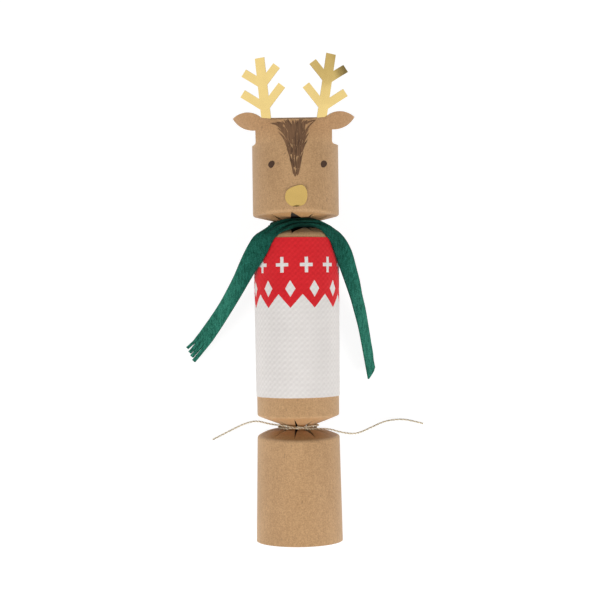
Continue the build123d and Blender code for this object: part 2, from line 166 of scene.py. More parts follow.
antler_depth = 0.43
antler_spacing = 32.4
antler_offset = -0.4
antler_height = 35
right_extra = 2.3
antler_lean = 7.3
antler_sway = 1.7
antler_tab = 8
antler_stem = 5.6
tine_width = 4.8
tine_angles = (55, 38.5)
tine_lengths = (16.1, 13.5)
fork_heights = (5.8, 15.7)

nose_half = (6.35, 6.25)
nose_rise = 10.5
nose_shift = 0.35

band_bottom = 86.0
band_top = 179.2
band_paper = 0.3
band_gap = 0.1
band_lap_angle = 210
band_lap = 9
stitches_round = 46
stitch_rows = 29
stitch_height = 0.09
stitch_parts = 6
knit_rows = 0.2
knit_cells = 0.8
pattern_rise = 0.7
diamond_angle = -8.6
diamond_height = 149.5
diamond_size = (6.1, 9.75)
cross_angle = 13.2
cross_height = 163.3
cross_size = (7.6, 9.1)
cross_arm = 2.0
zigzag_low = 138.3
zigzag_high = 146.3

felt = 1.0
strands = 4

# Meshes


def new_object(name, mesh):
    """An object in the scene."""
    made = bpy.data.objects.new(name, mesh)
    scene.collection.objects.link(made)
    return made


def piece(name, points, faces, *finishes):
    """An object from points in millimetres and faces, with its materials in order."""
    mesh = bpy.data.meshes.new(name)
    mesh.from_pydata([Vector(p) * MM for p in points], [], faces)
    for finish in finishes:
        mesh.materials.append(finish)
    return new_object(name, mesh)


def settle(made):
    """Turns an object's modifiers into plain mesh."""
    bpy.context.view_layer.update()
    graph = bpy.context.evaluated_depsgraph_get()
    mesh = bpy.data.meshes.new_from_object(made.evaluated_get(graph), depsgraph=graph)
    made.modifiers.clear()
    made.data = mesh
    return made


def thicken(made, thickness, offset=-1, materials=(0, 0)):
    """Gives a surface the thickness of its card, paper or felt."""
    layer = made.modifiers.new("thickness", "SOLIDIFY")
    layer.thickness = thickness * MM
    layer.offset = offset
    layer.use_even_offset = True
    layer.use_quality_normals = True
    layer.material_offset, layer.material_offset_rim = materials
    return settle(made)


def smooth(made, angle=35):
    """Shades an object smoothly, except over edges that are sharper than the angle."""
    made.data.polygons.foreach_set("use_smooth", [True] * len(made.data.polygons))
    made.data.set_sharp_from_angle(angle=math.radians(angle))
    return made


def joined(name, *parts):
    """One object from several, whose materials have to agree."""
    shape = bmesh.new()
    for part in parts:
        shape.from_mesh(part.data)
    mesh = bpy.data.meshes.new(name)
    shape.to_mesh(mesh)
    shape.free()
    for material in parts[0].data.materials:
        mesh.materials.append(material)
    for part in parts:
        bpy.data.objects.remove(part)
    return new_object(name, mesh)


def welded(made, distance=0.02):
    """Merges the points that coincide and turns all faces one way: upwards at the highest face."""
    shape = bmesh.new()
    shape.from_mesh(made.data)
    bmesh.ops.remove_doubles(shape, verts=shape.verts, dist=distance * MM)
    bmesh.ops.recalc_face_normals(shape, faces=shape.faces)
    highest = max(shape.faces, key=lambda f: f.calc_center_median().z)
    if highest.normal.z < 0:
        bmesh.ops.reverse_faces(shape, faces=shape.faces)
    shape.to_mesh(made.data)
    shape.free()
    return made


def grid_faces(rows, columns, closed=False):
    """The faces of a grid of points that is listed row by row."""
    faces = []
    for i in range(rows - 1):
        for j in range(columns if closed else columns - 1):
            k = (j + 1) % columns
            low, high = i * columns, (i + 1) * columns
            faces.append((low + j, low + k, high + k, high + j))
    return faces


def grid_rim(rows, columns, first=0):
    """The points round the outside of a grid that is listed row by row, in order."""
    last = first + rows * columns - 1
    rim = [first + j for j in range(columns)]
    rim += [first + i * columns + columns - 1 for i in range(1, rows)]
    rim += [last - j for j in range(1, columns)]
    rim += [first + (rows - 1 - i) * columns for i in range(1, rows - 1)]
    return rim


def filled(loops, inner_step, holds):
    """The points and triangles of flat outlines that may overlap, with points spread inside."""
    points, edges = [], []
    for loop in loops:
        first = len(points)
        points += [Vector(p) for p in loop]
        edges += [(first + i, first + (i + 1) % len(loop)) for i in range(len(loop))]
    xs, ys = [p.x for p in points], [p.y for p in points]
    clear = 0.45 * inner_step
    rim = [(points[a], points[b]) for a, b in edges]
    for i in range(int((max(xs) - min(xs)) / inner_step) + 1):
        for j in range(int((max(ys) - min(ys)) / inner_step) + 1):
            shift = 0.5 * inner_step * (j % 2)
            spot = Vector((min(xs) + inner_step * i + shift, min(ys) + inner_step * j))
            if holds(spot) and all(distance_to(spot, a, b) > clear for a, b in rim):
                points.append(spot)
    points, _, triangles, *_ = delaunay_2d_cdt(points, edges, [], 1, 1e-4)
    return points, triangles


def distance_to(spot, a, b):
    """How far a spot is from the line between two points."""
    run = b - a
    share = max(0, min(1, (spot - a).dot(run) / max(run.length_squared, 1e-9)))
    return (spot - a - run * share).length


def inside(spot, loop):
    """Whether a spot is inside a flat outline."""
    hit = False
    for a, b in zip(loop, loop[1:] + loop[:1]):
        if (a[1] > spot[1]) != (b[1] > spot[1]):
            if spot[0] < a[0] + (spot[1] - a[1]) * (b[0] - a[0]) / (b[1] - a[1]):
                hit = not hit
    return hit


def catmull(values, count):
    """Evenly spaced values on a smooth line through the given numbers or vectors."""
    made = []
    last = len(values) - 1
    for i in range(count):
        t = last * i / (count - 1)
        k = min(int(t), last - 1)
        t -= k
        a, b, c, d = (values[max(0, min(last, k + n))] for n in (-1, 0, 1, 2))
        made.append(b + (c - a) * (0.5 * t) + (a * 2 - b * 5 + c * 4 - d) * (0.5 * t * t)
                    + (b * 3 - a - c * 3 + d) * (0.5 * t ** 3))
    return made


def arc_through(a, b, c, count):
    """Points on the arc from a by way of b to c, without its first point."""
    (ax, ay), (bx, by), (cx, cy) = a, b, c
    d = 2 * (ax * (by - cy) + bx * (cy - ay) + cx * (ay - by))
    aa, bb, cc = (x * x + y * y for x, y in (a, b, c))
    ux = (aa * (by - cy) + bb * (cy - ay) + cc * (ay - by)) / d
    uy = (aa * (cx - bx) + bb * (ax - cx) + cc * (bx - ax)) / d
    radius = math.hypot(ax - ux, ay - uy)
    start, way, end = (math.atan2(y - uy, x - ux) for x, y in (a, b, c))
    sweep = (end - start) % math.tau
    if (way - start) % math.tau > sweep:
        sweep -= math.tau
    turns = [start + sweep * i / count for i in range(1, count + 1)]
    return [(ux + radius * math.cos(turn), uy + radius * math.sin(turn)) for turn in turns]


def round_axis(angle, radius, along):
    """A point at an angle from the front and a radius round the cracker's axis."""
    a = math.radians(angle)
    return Vector((radius * math.sin(a), along, axis_height + radius * math.cos(a)))


# Node trees


class Number:
    """A number in a node tree that can be used in a formula."""

    def __init__(self, tree, socket):
        self.tree = tree
        self.socket = socket

    def made(self, operation, *values):
        """The number that a math operation makes of some values."""
        node = self.tree.nodes.new("ShaderNodeMath")
        node.operation = operation
        for socket, value in zip(node.inputs, values):
            if isinstance(value, Number):
                self.tree.links.new(value.socket, socket)
            else:
                socket.default_value = value
        return Number(self.tree, node.outputs[0])

    def __add__(self, other):
        return self.made("ADD", self, other)

    def __sub__(self, other):
        return self.made("SUBTRACT", self, other)

    def __rsub__(self, other):
        return self.made("SUBTRACT", other, self)

    def __mul__(self, other):
        return self.made("MULTIPLY", self, other)

    def __truediv__(self, other):
        return self.made("DIVIDE", self, other)

    def __abs__(self):
        return self.made("ABSOLUTE", self)

    def __lt__(self, other):
        return self.made("LESS_THAN", self, other)

    def most(self, other):
        return self.made("MAXIMUM", self, other)

    def from_nearest(self, period):
        """How far it is from the nearest whole number of periods."""
        turns = self / period + 0.5
        return (turns.made("FRACT", turns) - 0.5) * period


def add(tree, kind, inputs=None, **settings):
    """A new node, with its settings and with values, sockets or other nodes on its inputs."""
    node = tree.nodes.new(kind)
    for name, value in settings.items():
        setattr(node, name, value)
    for name, value in (inputs or {}).items():
        if isinstance(value, Number):
            value = value.socket
        if isinstance(value, bpy.types.Node):
            value = value.outputs[0]
        if isinstance(value, bpy.types.NodeSocket):
            tree.links.new(value, node.inputs[name])
        else:
            node.inputs[name].default_value = value
    return node


def geometry_tree(name, **inputs):
    """A geometry tree with named inputs, and its input and output nodes."""
    tree = bpy.data.node_groups.new(name, "GeometryNodeTree")
    tree.interface.new_socket("Geometry", in_out="INPUT", socket_type="NodeSocketGeometry")
    tree.interface.new_socket("Geometry", in_out="OUTPUT", socket_type="NodeSocketGeometry")
    for label, kind in inputs.items():
        tree.interface.new_socket(label, in_out="INPUT", socket_type="NodeSocket" + kind)
    return tree, tree.nodes.new("NodeGroupInput"), tree.nodes.new("NodeGroupOutput")


def end_tree(tree, given, result, shape):
    """Gives a tree's shape the material that the tree is given, and hands it out."""
    finish = add(tree, "GeometryNodeSetMaterial", {
        "Geometry": shape, "Material": given.outputs["Finish"]})
    tree.links.new(finish.outputs[0], result.inputs[0])
    return tree


def grown(made, tree, **values):
    """Runs a geometry tree on an object and keeps the plain mesh it makes."""
    modifier = made.modifiers.new(tree.name, "NODES")
    modifier.node_group = tree
    for item in tree.interface.items_tree:
        if item.in_out == "INPUT" and item.name in values:
            modifier[item.identifier] = values[item.name]
    return settle(made)


def ring_tree():
    """Sets one strip of card round the axis as often as the tube has petals, and welds the strips."""
    tree, given, result = geometry_tree(
        "ring_of_petals", Count="Int", First="Float", Height="Float", Weld="Float", Finish="Material")
    index = Number(tree, add(tree, "GeometryNodeInputIndex").outputs[0])
    count, first = (Number(tree, given.outputs[label]) for label in ("Count", "First"))
    turn = index * math.tau / count + first
    spots = add(tree, "GeometryNodeMeshLine", {"Count": given.outputs["Count"], "Offset": (0, 0, 0)})
    rotation = add(tree, "ShaderNodeCombineXYZ", {"Y": turn})
    lift = add(tree, "ShaderNodeCombineXYZ", {"Z": given.outputs["Height"]})
    petals = add(tree, "GeometryNodeInstanceOnPoints", {
        "Points": spots, "Instance": given.outputs["Geometry"],
        "Rotation": rotation})
    real = add(tree, "GeometryNodeRealizeInstances", {"Geometry": petals})
    placed = add(tree, "GeometryNodeTransform", {
        "Geometry": real, "Translation": lift})
    weld = add(tree, "GeometryNodeMergeByDistance", {
        "Geometry": placed, "Distance": given.outputs["Weld"]})
    return end_tree(tree, given, result, weld)


ply_sides = 9


def twine_tree():
    """Lays plies round a line of points and gives each its thickness."""
    tree, given, result = geometry_tree(
        "laid_twine", Plies="Int", Lay="Float", Ply="Float", Offset="Float", Step="Float",
        Finish="Material")
    line = add(tree, "GeometryNodeMeshToCurve", {"Mesh": given.outputs["Geometry"]})
    even = add(tree, "GeometryNodeResampleCurve", {
        "Curve": line, "Length": given.outputs["Step"]}, mode="LENGTH")
    spots = add(tree, "GeometryNodeMeshLine", {"Count": given.outputs["Plies"], "Offset": (0, 0, 0)})
    copies = add(tree, "GeometryNodeInstanceOnPoints", {
        "Points": spots, "Instance": even})
    index = add(tree, "GeometryNodeInputIndex")
    kept = add(tree, "GeometryNodeStoreNamedAttribute", {
        "Geometry": copies, "Name": "ply", "Value": index},
        data_type="FLOAT", domain="INSTANCE")
    real = add(tree, "GeometryNodeRealizeInstances", {"Geometry": kept})
    ply = add(tree, "GeometryNodeInputNamedAttribute", {"Name": "ply"}, data_type="FLOAT")
    length = Number(tree, add(tree, "GeometryNodeSplineParameter").outputs["Length"])
    number = Number(tree, ply.outputs["Attribute"])
    lay, plies = (Number(tree, given.outputs[label]) for label in ("Lay", "Plies"))
    turn = (length / lay + number / plies) * math.tau
    normal = add(tree, "GeometryNodeInputNormal")
    tangent = add(tree, "GeometryNodeInputTangent")
    turned = add(tree, "ShaderNodeVectorRotate", {
        "Vector": normal, "Axis": tangent, "Angle": turn},
        rotation_type="AXIS_ANGLE")
    aside = add(tree, "ShaderNodeVectorMath", {
        0: turned, "Scale": given.outputs["Offset"]}, operation="SCALE")
    helix = add(tree, "GeometryNodeSetPosition", {
        "Geometry": real, "Offset": aside})
    profile = add(tree, "GeometryNodeCurvePrimitiveCircle", {
        "Resolution": ply_sides, "Radius": given.outputs["Ply"]})
    yarn = add(tree, "GeometryNodeCurveToMesh", {
        "Curve": helix, "Profile Curve": profile, "Fill Caps": True})
    shaded = add(tree, "GeometryNodeSetShadeSmooth", {"Geometry": yarn})
    return end_tree(tree, given, result, shaded)


def hair_tree():
    """Scatters short fibres over a surface, each leaning its own way."""
    tree, given, result = geometry_tree(
        "loose_fibres", Density="Float", Length="Float", Lean="Float", Seed="Int", Hair="Object",
        Finish="Material")
    spots = add(tree, "GeometryNodeDistributePointsOnFaces", {
        "Mesh": given.outputs["Geometry"], "Density": given.outputs["Density"],
        "Seed": given.outputs["Seed"]})
    upright = add(tree, "FunctionNodeAlignRotationToVector", {
        "Vector": spots.outputs["Normal"]}, axis="Z")
    leans = add(tree, "FunctionNodeRandomValue", {
        "Min": (-1, -1, -3), "Max": (1, 1, 3), "Seed": given.outputs["Seed"]},
        data_type="FLOAT_VECTOR")
    lean = add(tree, "ShaderNodeVectorMath", {
        0: leans, "Scale": given.outputs["Lean"]}, operation="SCALE")
    leaning = add(tree, "FunctionNodeEulerToRotation", {0: lean})
    placed = add(tree, "FunctionNodeRotateRotation", {
        "Rotation": upright, "Rotate By": leaning}, rotation_space="LOCAL")
    lengths = add(tree, "FunctionNodeRandomValue", {"Min": 0.35, "Max": 1.0}, data_type="FLOAT")
    length = Number(tree, lengths.outputs[1]) * Number(tree, given.outputs["Length"])
    hair = add(tree, "GeometryNodeObjectInfo", {"Object": given.outputs["Hair"]})
    scale = add(tree, "ShaderNodeCombineXYZ", {"X": length, "Y": length, "Z": length})
    hairs = add(tree, "GeometryNodeInstanceOnPoints", {
        "Points": spots.outputs["Points"], "Instance": hair.outputs["Geometry"],
        "Rotation": placed, "Scale": scale})
    real = add(tree, "GeometryNodeRealizeInstances", {"Geometry": hairs})
    return end_tree(tree, given, result, real)


# Materials


def new_material(name, **values):
    """A material, its tree, its shader and its object coordinates."""
    material = bpy.data.materials.new(name)
    material.use_nodes = True
    tree = material.node_tree
    shader = tree.nodes["Principled BSDF"]
    for label, value in values.items():
        shader.inputs[label.replace("_", " ")].default_value = value
    place = add(tree, "ShaderNodeTexCoord").outputs["Object"]
    return material, tree, shader, place


def noise(tree, place, scale, detail=2.0, roughness=0.5, stretch=(1, 1, 1)):
    """Noise with so many grains a metre, drawn out where the stretch is below 1."""
    grains = add(tree, "ShaderNodeMapping", {
        "Vector": place, "Scale": tuple(scale * s for s in stretch)})
    made = add(tree, "ShaderNodeTexNoise", {
        "Vector": grains, "Scale": 1.0, "Detail": detail, "Roughness": roughness})
    return Number(tree, made.outputs["Fac"])


def mixed(tree, share, a, b, blend="MIX"):
    """A colour between two, which are colours or sockets."""
    node = add(tree, "ShaderNodeMix", {"Factor": share}, data_type="RGBA", blend_type=blend)
    for socket, value in ((node.inputs[6], a), (node.inputs[7], b)):
        if isinstance(value, bpy.types.NodeSocket):
            tree.links.new(value, socket)
        else:
            socket.default_value = (*value, 1)
    return node.outputs[2]


def spread(tree, value, low, high):
    """A number taken from low to high onto 0 to 1."""
    node = add(tree, "ShaderNodeMapRange", {"Value": value, "From Min": low, "From Max": high})
    return Number(tree, node.outputs[0])


def bumped(tree, shader, height, strength, depth):
    """Lets a height, times a depth in millimetres, shape the surface's shading."""
    node = add(tree, "ShaderNodeBump", {
        "Height": height, "Strength": strength, "Distance": depth * MM})
    tree.links.new(node.outputs[0], shader.inputs["Normal"])


def painted(tree, shader, colour):
    """Gives a shader its colour."""
    tree.links.new(colour, shader.inputs["Base Color"])


per_metre = 1000


def from_axis(tree, place):
    """How far a place is from the tubes' axis, and where it is along it, in millimetres."""
    split = add(tree, "ShaderNodeSeparateXYZ", {"Vector": place})
    x, along, z = (Number(tree, split.outputs[i]) * per_metre for i in range(3))
    return x.made("SQRT", x * x + (z - axis_height) * (z - axis_height)), along


# Painted shade in the necks: the radii over which the card grows deeper, and where it starts and fades
# along the tubes.
neck_shade_radii = (24.0, 22.8)
neck_fade = 2
low_neck_end = body_bottom + 3
high_neck_end = head_bottom + 7
# How far the painted shade on the panel fades in above the back rim, and its colour.
panel_fade = 9
panel_painted_shade = (0.945, 0.89, 0.845)


def kraft_material(name, dark, light, neck=(1, 1, 1)):
    """Brown card: fibres, cloudy tone and a few specks, with painted shade that makes it deeper on the
    panel and in the necks.
    """
    material, tree, shader, place = new_material(
        name, Roughness=0.55, Specular_IOR_Level=0.55, Sheen_Weight=0.34, Sheen_Roughness=0.5,
        Sheen_Tint=(1, 0.82, 0.60, 1))
    fibres = noise(tree, place, 700, 4, 0.7, (1, 0.45, 1))
    grain = noise(tree, place, 1250, 3, 0.65)
    clouds = noise(tree, place, 60, 3, 0.5, (1, 0.5, 1))
    tone = fibres * 0.28 + grain * 0.55 + clouds * 0.17
    colour = mixed(tree, spread(tree, tone, 0.39, 0.61), dark, light)
    specks = spread(tree, noise(tree, place, 560, 1, 0.5, (1, 0.6, 1)), 0.70, 0.76)
    colour = mixed(tree, specks * 0.35, colour, tuple(0.45 * c for c in dark))
    radius, along = from_axis(tree, place)
    # Painted shade: the panel and ears above the back rim are made a little darker and warmer than the
    # tube.
    raised = spread(tree, along, back_rim, back_rim + panel_fade)
    colour = mixed(tree, raised, colour, panel_painted_shade, "MULTIPLY")
    low_neck = spread(tree, along, low_neck_end, low_neck_end - neck_fade)
    high_neck = spread(tree, along, high_neck_end, high_neck_end - neck_fade)
    high_neck = high_neck * spread(tree, along, upper_waist - 1, upper_waist)
    # Painted shade: the card is made deeper and warmer where it goes down into the necks.
    neck_shade = spread(tree, radius, *neck_shade_radii) * (low_neck + high_neck)
    painted(tree, shader, mixed(tree, neck_shade, colour, neck, "MULTIPLY"))
    bumped(tree, shader, fibres + grain * 0.6, 0.25, 0.08)
    return material


def gold_material(name, colour, roughness):
    """Mirror card: a little cloudy and a little uneven, as foil is."""
    material, tree, shader, place = new_material(name, Metallic=1.0)
    clouds = noise(tree, place, 180, 3, 0.6)
    scratches = noise(tree, place, 900, 2, 0.5, (1, 0.05, 1))
    dim, bright = (tuple(level * c for c in colour) for level in (0.86, 1.03))
    painted(tree, shader, mixed(tree, clouds, dim, bright))
    uneven = clouds * 0.16 + scratches * 0.06 + (roughness - 0.11)
    tree.links.new(uneven.socket, shader.inputs["Roughness"])
    bumped(tree, shader, noise(tree, place, 110, 2, 0.4), 0.12, 0.3)
    return material


def sweater_material(name):
    """Printed paper: white knit with a zigzag edge to a red yoke with diamonds and crosses, and painted
    shade in the knit's hollows.
    """
    material, tree, shader, place = new_material(name, Roughness=0.6, Specular_IOR_Level=0.2)
    split = add(tree, "ShaderNodeSeparateXYZ", {"Vector": place})
    x, y, z = (Number(tree, split.outputs[i]) * per_metre for i in range(3))
    angle = x.made("ARCTAN2", x, z - axis_height)
    radius = body_lower_radius + pattern_rise
    round_it = angle * radius
    repeat = math.tau * radius / slit_count
    from_diamond = abs((round_it - math.radians(diamond_angle) * radius).from_nearest(repeat))
    from_cross = abs((round_it - math.radians(cross_angle) * radius).from_nearest(repeat))
    diamond_fall = abs(y - diamond_height) / (diamond_size[1] / 2)
    diamond_fall = diamond_fall + from_diamond / (diamond_size[0] / 2)
    up_cross = abs(y - cross_height)
    long_arm = from_cross.made("MULTIPLY", from_cross < cross_arm / 2, up_cross < cross_size[1] / 2)
    short_arm = from_cross.made("MULTIPLY", from_cross < cross_size[0] / 2, up_cross < cross_arm / 2)
    below = y < from_diamond * ((zigzag_high - zigzag_low) / (repeat / 2)) + zigzag_low
    white = (diamond_fall < 1).most(long_arm.most(short_arm)).most(below)
    grain = noise(tree, place, 1300, 3, 0.6)
    clouds = noise(tree, place, 90, 2)
    lit = spread(tree, grain * 0.6 + clouds * 0.4, 0.3, 0.7)
    red = mixed(tree, lit, (0.71, 0.019, 0.027), (0.84, 0.030, 0.038))
    plain = mixed(tree, lit, (0.84, 0.80, 0.77), (0.93, 0.89, 0.86))
    across = x.made("COSINE", (angle - math.radians(band_lap_angle)) * stitches_round)
    up = x.made("COSINE", (y - band_bottom) * (math.tau * stitch_rows / (band_top - band_bottom)))
    knit = up * (across * knit_cells + knit_rows) * 0.5 + 0.5
    colour = mixed(tree, white, red, plain)
    # Painted shade: the print is made darker in the hollows of the knit's relief.
    shaded = mixed(tree, white, (0.40, 0.006, 0.010), (0.52, 0.48, 0.46))
    painted(tree, shader, mixed(tree, (1 - knit) * 0.28, colour, shaded))
    bumped(tree, shader, grain, 0.12, 0.06)
    return material


# Radii over which painted light makes the tails paler and painted shade makes the felt darker in the neck.
felt_painted_light_radii = (30.0, 42.0)
felt_painted_shade_radii = (30.5, 18.5)


def felt_material(name):
    """Green felt: matted fibres, with painted light that makes it paler out on the tails and painted shade
    that makes it darker deep in the neck.
    """
    material, tree, shader, place = new_material(
        name, Roughness=0.95, Specular_IOR_Level=0.1, Sheen_Weight=0.12, Sheen_Roughness=0.4,
        Sheen_Tint=(0.45, 0.88, 0.76, 1))
    matted = noise(tree, place, 1700, 6, 0.75)
    combed = noise(tree, place, 1000, 4, 0.7, (1, 0.25, 0.6))
    clouds = noise(tree, place, 120, 3)
    tone = spread(tree, matted * 0.58 + combed * 0.36 + clouds * 0.06, 0.435, 0.565)
    colour = mixed(tree, tone, (0.0035, 0.0510, 0.033), (0.0215, 0.162, 0.115))
    radius, _ = from_axis(tree, place)
    # Painted light: the felt out on the tails is made paler.
    tail_painted_light = spread(tree, radius, *felt_painted_light_radii)
    colour = mixed(tree, tail_painted_light, colour, (2.3, 1.78, 1.76), "MULTIPLY")
    # Painted shade: the felt deep in the neck is made darker.
    deep = spread(tree, radius, *felt_painted_shade_radii)
    painted(tree, shader, mixed(tree, deep * 0.84, colour, (0.003, 0.018, 0.013)))
    bumped(tree, shader, matted + combed * 0.7, 0.55, 0.35)
    return material


def fibre_material(name, dark, light, scale, stretch=(1, 1, 1), roughness=0.85, depth=0.12):
    """Plain fibrous stuff: twine, paper, tissue or card in two tones."""
    material, tree, shader, place = new_material(name, Roughness=roughness, Specular_IOR_Level=0.3)
    grain = noise(tree, place, scale, 4, 0.65, stretch)
    clouds = noise(tree, place, scale / 12, 2)
    tone = spread(tree, grain * 0.7 + clouds * 0.3, 0.35, 0.65)
    painted(tree, shader, mixed(tree, tone, dark, light))
    bumped(tree, shader, grain, 0.35, depth)
    return material


def twine_material(name):
    """Two plies of jute, one paler than the other, with fibres along them."""
    material, tree, shader, place = new_material(name, Roughness=0.9, Specular_IOR_Level=0.2)
    ply = Number(tree, add(tree, "ShaderNodeAttribute", attribute_name="ply").outputs["Fac"])
    fibres = noise(tree, place, 2600, 3, 0.7)
    patches = noise(tree, place, 300, 2)
    share = ply * 0.6 + spread(tree, fibres * 0.7 + patches * 0.3, 0.3, 0.7) * 0.4
    painted(tree, shader, mixed(tree, share, (0.55, 0.41, 0.22), (1.0, 0.94, 0.78)))
    bumped(tree, shader, fibres, 0.4, 0.2)
    return material


def wood_material(name):
    """Turned beech: rings along the peg's axis with fine pores."""
    material, tree, shader, place = new_material(name, Roughness=0.5)
    rings = noise(tree, place, 420, 3, 0.5, (1, 0.12, 1))
    pores = noise(tree, place, 2200, 2, 0.6, (1, 0.08, 1))
    tone = spread(tree, rings * 0.7 + pores * 0.3, 0.35, 0.65)
    painted(tree, shader, mixed(tree, tone, (0.42, 0.23, 0.10), (0.63, 0.40, 0.20)))
    bumped(tree, shader, pores, 0.2, 0.1)
    return material


# Its last colour is the painted shade in the necks.
kraft = kraft_material(
    "kraft_card", (0.424, 0.240, 0.107), (0.618, 0.377, 0.189), (0.93, 0.79, 0.57))
# The inside is the same card made darker: painted shade.
kraft_inside_painted_shade = kraft_material("kraft_card_inside", (0.30, 0.180, 0.086), (0.43, 0.270, 0.142))
kraft_edge = fibre_material("kraft_cut_edge", (0.40, 0.26, 0.14), (0.62, 0.44, 0.27), 2500)
gold = gold_material("gold_card", (0.93, 0.70, 0.275), 0.18)
gold_foil = gold_material("gold_foil", (0.66, 0.45, 0.145), 0.16)
gold_back = fibre_material("gold_card_back", (0.66, 0.62, 0.54), (0.78, 0.75, 0.68), 1500)
sweater = sweater_material("sweater_paper")
paper_white = fibre_material("sweater_paper_back", (0.68, 0.65, 0.60), (0.80, 0.77, 0.73), 1500)
green_felt = felt_material("green_felt")
yarn = twine_material("twine")
yarn_fuzz = fibre_material("twine_fuzz", (0.62, 0.52, 0.36), (0.88, 0.80, 0.64), 2000)
ink = fibre_material(
    "brown_print", (0.070, 0.036, 0.020), (0.265, 0.143, 0.073), 1100, (1, 0.10, 1), 0.6, 0.02)
eye_ink = fibre_material(
    "eye_print", (0.048, 0.022, 0.011), (0.084, 0.040, 0.020), 1800, roughness=0.5, depth=0.02)
# Nearly black, so that the strips seen through the slits read as shade: painted shade.
snap_card = fibre_material(
    "snap_card", (0.024, 0.021, 0.018), (0.055, 0.048, 0.042), 1400, (1, 0.2, 1))
snap_paper = fibre_material("snap_paper", (0.66, 0.64, 0.60), (0.80, 0.78, 0.74), 1600)
snap_powder = fibre_material(
    "snap_charge", (0.20, 0.20, 0.21), (0.42, 0.42, 0.44), 3200, roughness=0.6)
tissue = fibre_material(
    "crown_tissue", (0.46, 0.016, 0.020), (0.66, 0.040, 0.045), 700, depth=0.4)
rubber = fibre_material(
    "rubber_band", (0.52, 0.30, 0.12), (0.66, 0.42, 0.20), 900, roughness=0.45)
wood = wood_material("wood")
motto_paper = fibre_material("motto_paper", (0.68, 0.65, 0.58), (0.82, 0.79, 0.72), 1500)
tape = fibre_material("tape", (0.62, 0.60, 0.55), (0.74, 0.72, 0.67), 1000, roughness=0.35)
node_finish = {
    "snap_upper_strip": snap_card,
    "snap_lower_strip": snap_card,
    "snap_sleeve": snap_paper,
    "snap_charge": snap_powder,
    "paper_crown": tissue,
    "crown_rubber_band": rubber,
    "gift_top_disc": wood,
    "gift_top_peg": wood,
    "motto_slip": motto_paper,
    "head_seam_tape": tape,
    "body_seam_tape": tape,
    "foot_seam_tape": tape,
}
for name, finish in node_finish.items():
    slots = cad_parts[name].data.materials
    slots.clear()
    slots.append(finish)

# Card tubes

bend_parts = 6


def rounded_line(corners, bends, step):
    """(radius, along) points on a line through corners that are rounded by bends, in short steps."""
    line = [Vector(corners[0])]
    for before, corner, after, bend in zip(corners, corners[1:], corners[2:], bends):
        corner = Vector(corner)
        back = (Vector(before) - corner).normalized()
        on = (Vector(after) - corner).normalized()
        if bend == 0:
            line.append(corner)
            continue
        run = bend / math.tan(back.angle(on) / 2)
        start, end = corner + back * run, corner + on * run
        for i in range(bend_parts + 1):
            t = i / bend_parts
            line.append(start * (1 - t) ** 2 + corner * (2 * t * (1 - t)) + end * t ** 2)
    line.append(Vector(corners[-1]))
    fine = [line[0]]
    for a, b in zip(line, line[1:]):
        parts = max(1, math.ceil((b - a).length / step))
        fine += [a.lerp(b, i / parts) for i in range(1, parts + 1)]
    return fine


def on_cone(low, high, radius):
    """The point of the line between two (radius, along) points at a radius."""
    share = (radius - low[0]) / (high[0] - low[0])
    return (radius, low[1] + share * (high[1] - low[1]))


def slit_half(radius, tip, wide):
    """Half the angle that a slit takes out of the tube at a radius."""
    width = wide * max(0, tip - radius) / (tip - slit_base)
    return math.asin(width / 2 / radius)


petal_columns = 14
petal_swell = 0.25
petal_dip = 0.35
dip_reach = 1.1


def petal_strip(name, line, tips, widths):
    """One strip of a tube between two slits, from end to end, facing up over the axis."""
    middle = (line[0].y + line[-1].y) / 2
    points = []
    for radius, along in line:
        tip, wide = (tips[0], widths[0]) if along < middle else (tips[-1], widths[-1])
        half = math.pi / slit_count - slit_half(radius, tip, wide)
        deep = max(0, min(1, (tip - radius) / (tip - waist_radius)))
        swell = petal_swell * math.sin(math.pi * deep)
        dip = petal_dip * math.sin(math.pi * min(1, deep * dip_reach))
        for j in range(petal_columns + 1):
            t = 2 * j / petal_columns - 1
            r = radius - dip * t ** 4 + swell
            points.append((r * math.sin(half * t), along, r * math.cos(half * t)))
    return piece(name, points, grid_faces(len(line), petal_columns + 1))


def on_tube(vertex):
    """A point's place across, along and in front of the axis, and its radius, in millimetres."""
    x, along, z = vertex.co.x / MM, vertex.co.y / MM, vertex.co.z / MM - axis_height
    return x, along, z, math.hypot(x, z)


def open_slit(made, number, extra, shares, reaches, tip):
    """Parts the two petals at one slit, which stands open wider than the others on that neck."""
    along_from, along_to = reaches
    reach = math.tau / slit_count
    slit = math.radians(slit_phase) + number * reach
    for v in made.data.vertices:
        x, along, z, radius = on_tube(v)
        away = math.atan2(x, z) - slit
        if along_from < along < along_to and radius < tip and 0 < abs(away) < reach:
            wider = extra * (tip - radius) / (tip - slit_base) / radius
            share = shares[1] if away > 0 else -shares[0]
            angle = slit + away + wider * (1 - abs(away) / reach) * share
            v.co.x = radius * math.sin(angle) * MM
            v.co.z = (axis_height + radius * math.cos(angle)) * MM


fold_reach = 24
fold_narrowing = 1.5
bulge_lean = 0.5


def bow_fold(made, fold, tube_radius, tube_side, shift, bulge=0.0):
    """Moves a tube's fold along at the front, where the neck is drawn in most, and bulges its petals."""
    for v in made.data.vertices:
        x, along, z, radius = on_tube(v)
        facing = max(0, z / radius) ** fold_narrowing
        into_tube = (along - fold) * tube_side - 1
        if into_tube > 0:
            share = max(0, 1 - into_tube / fold_reach)
            swell = 0
        else:
            share = max(0, min(1, (radius - waist_radius) / (tube_radius - waist_radius)))
            swell = bulge * math.sin(math.pi * share) * (1 - bulge_lean * x / radius)
        v.co.y += (shift * facing * share - tube_side * swell) * MM


petal_ring = ring_tree()
petal_weld = 0.02


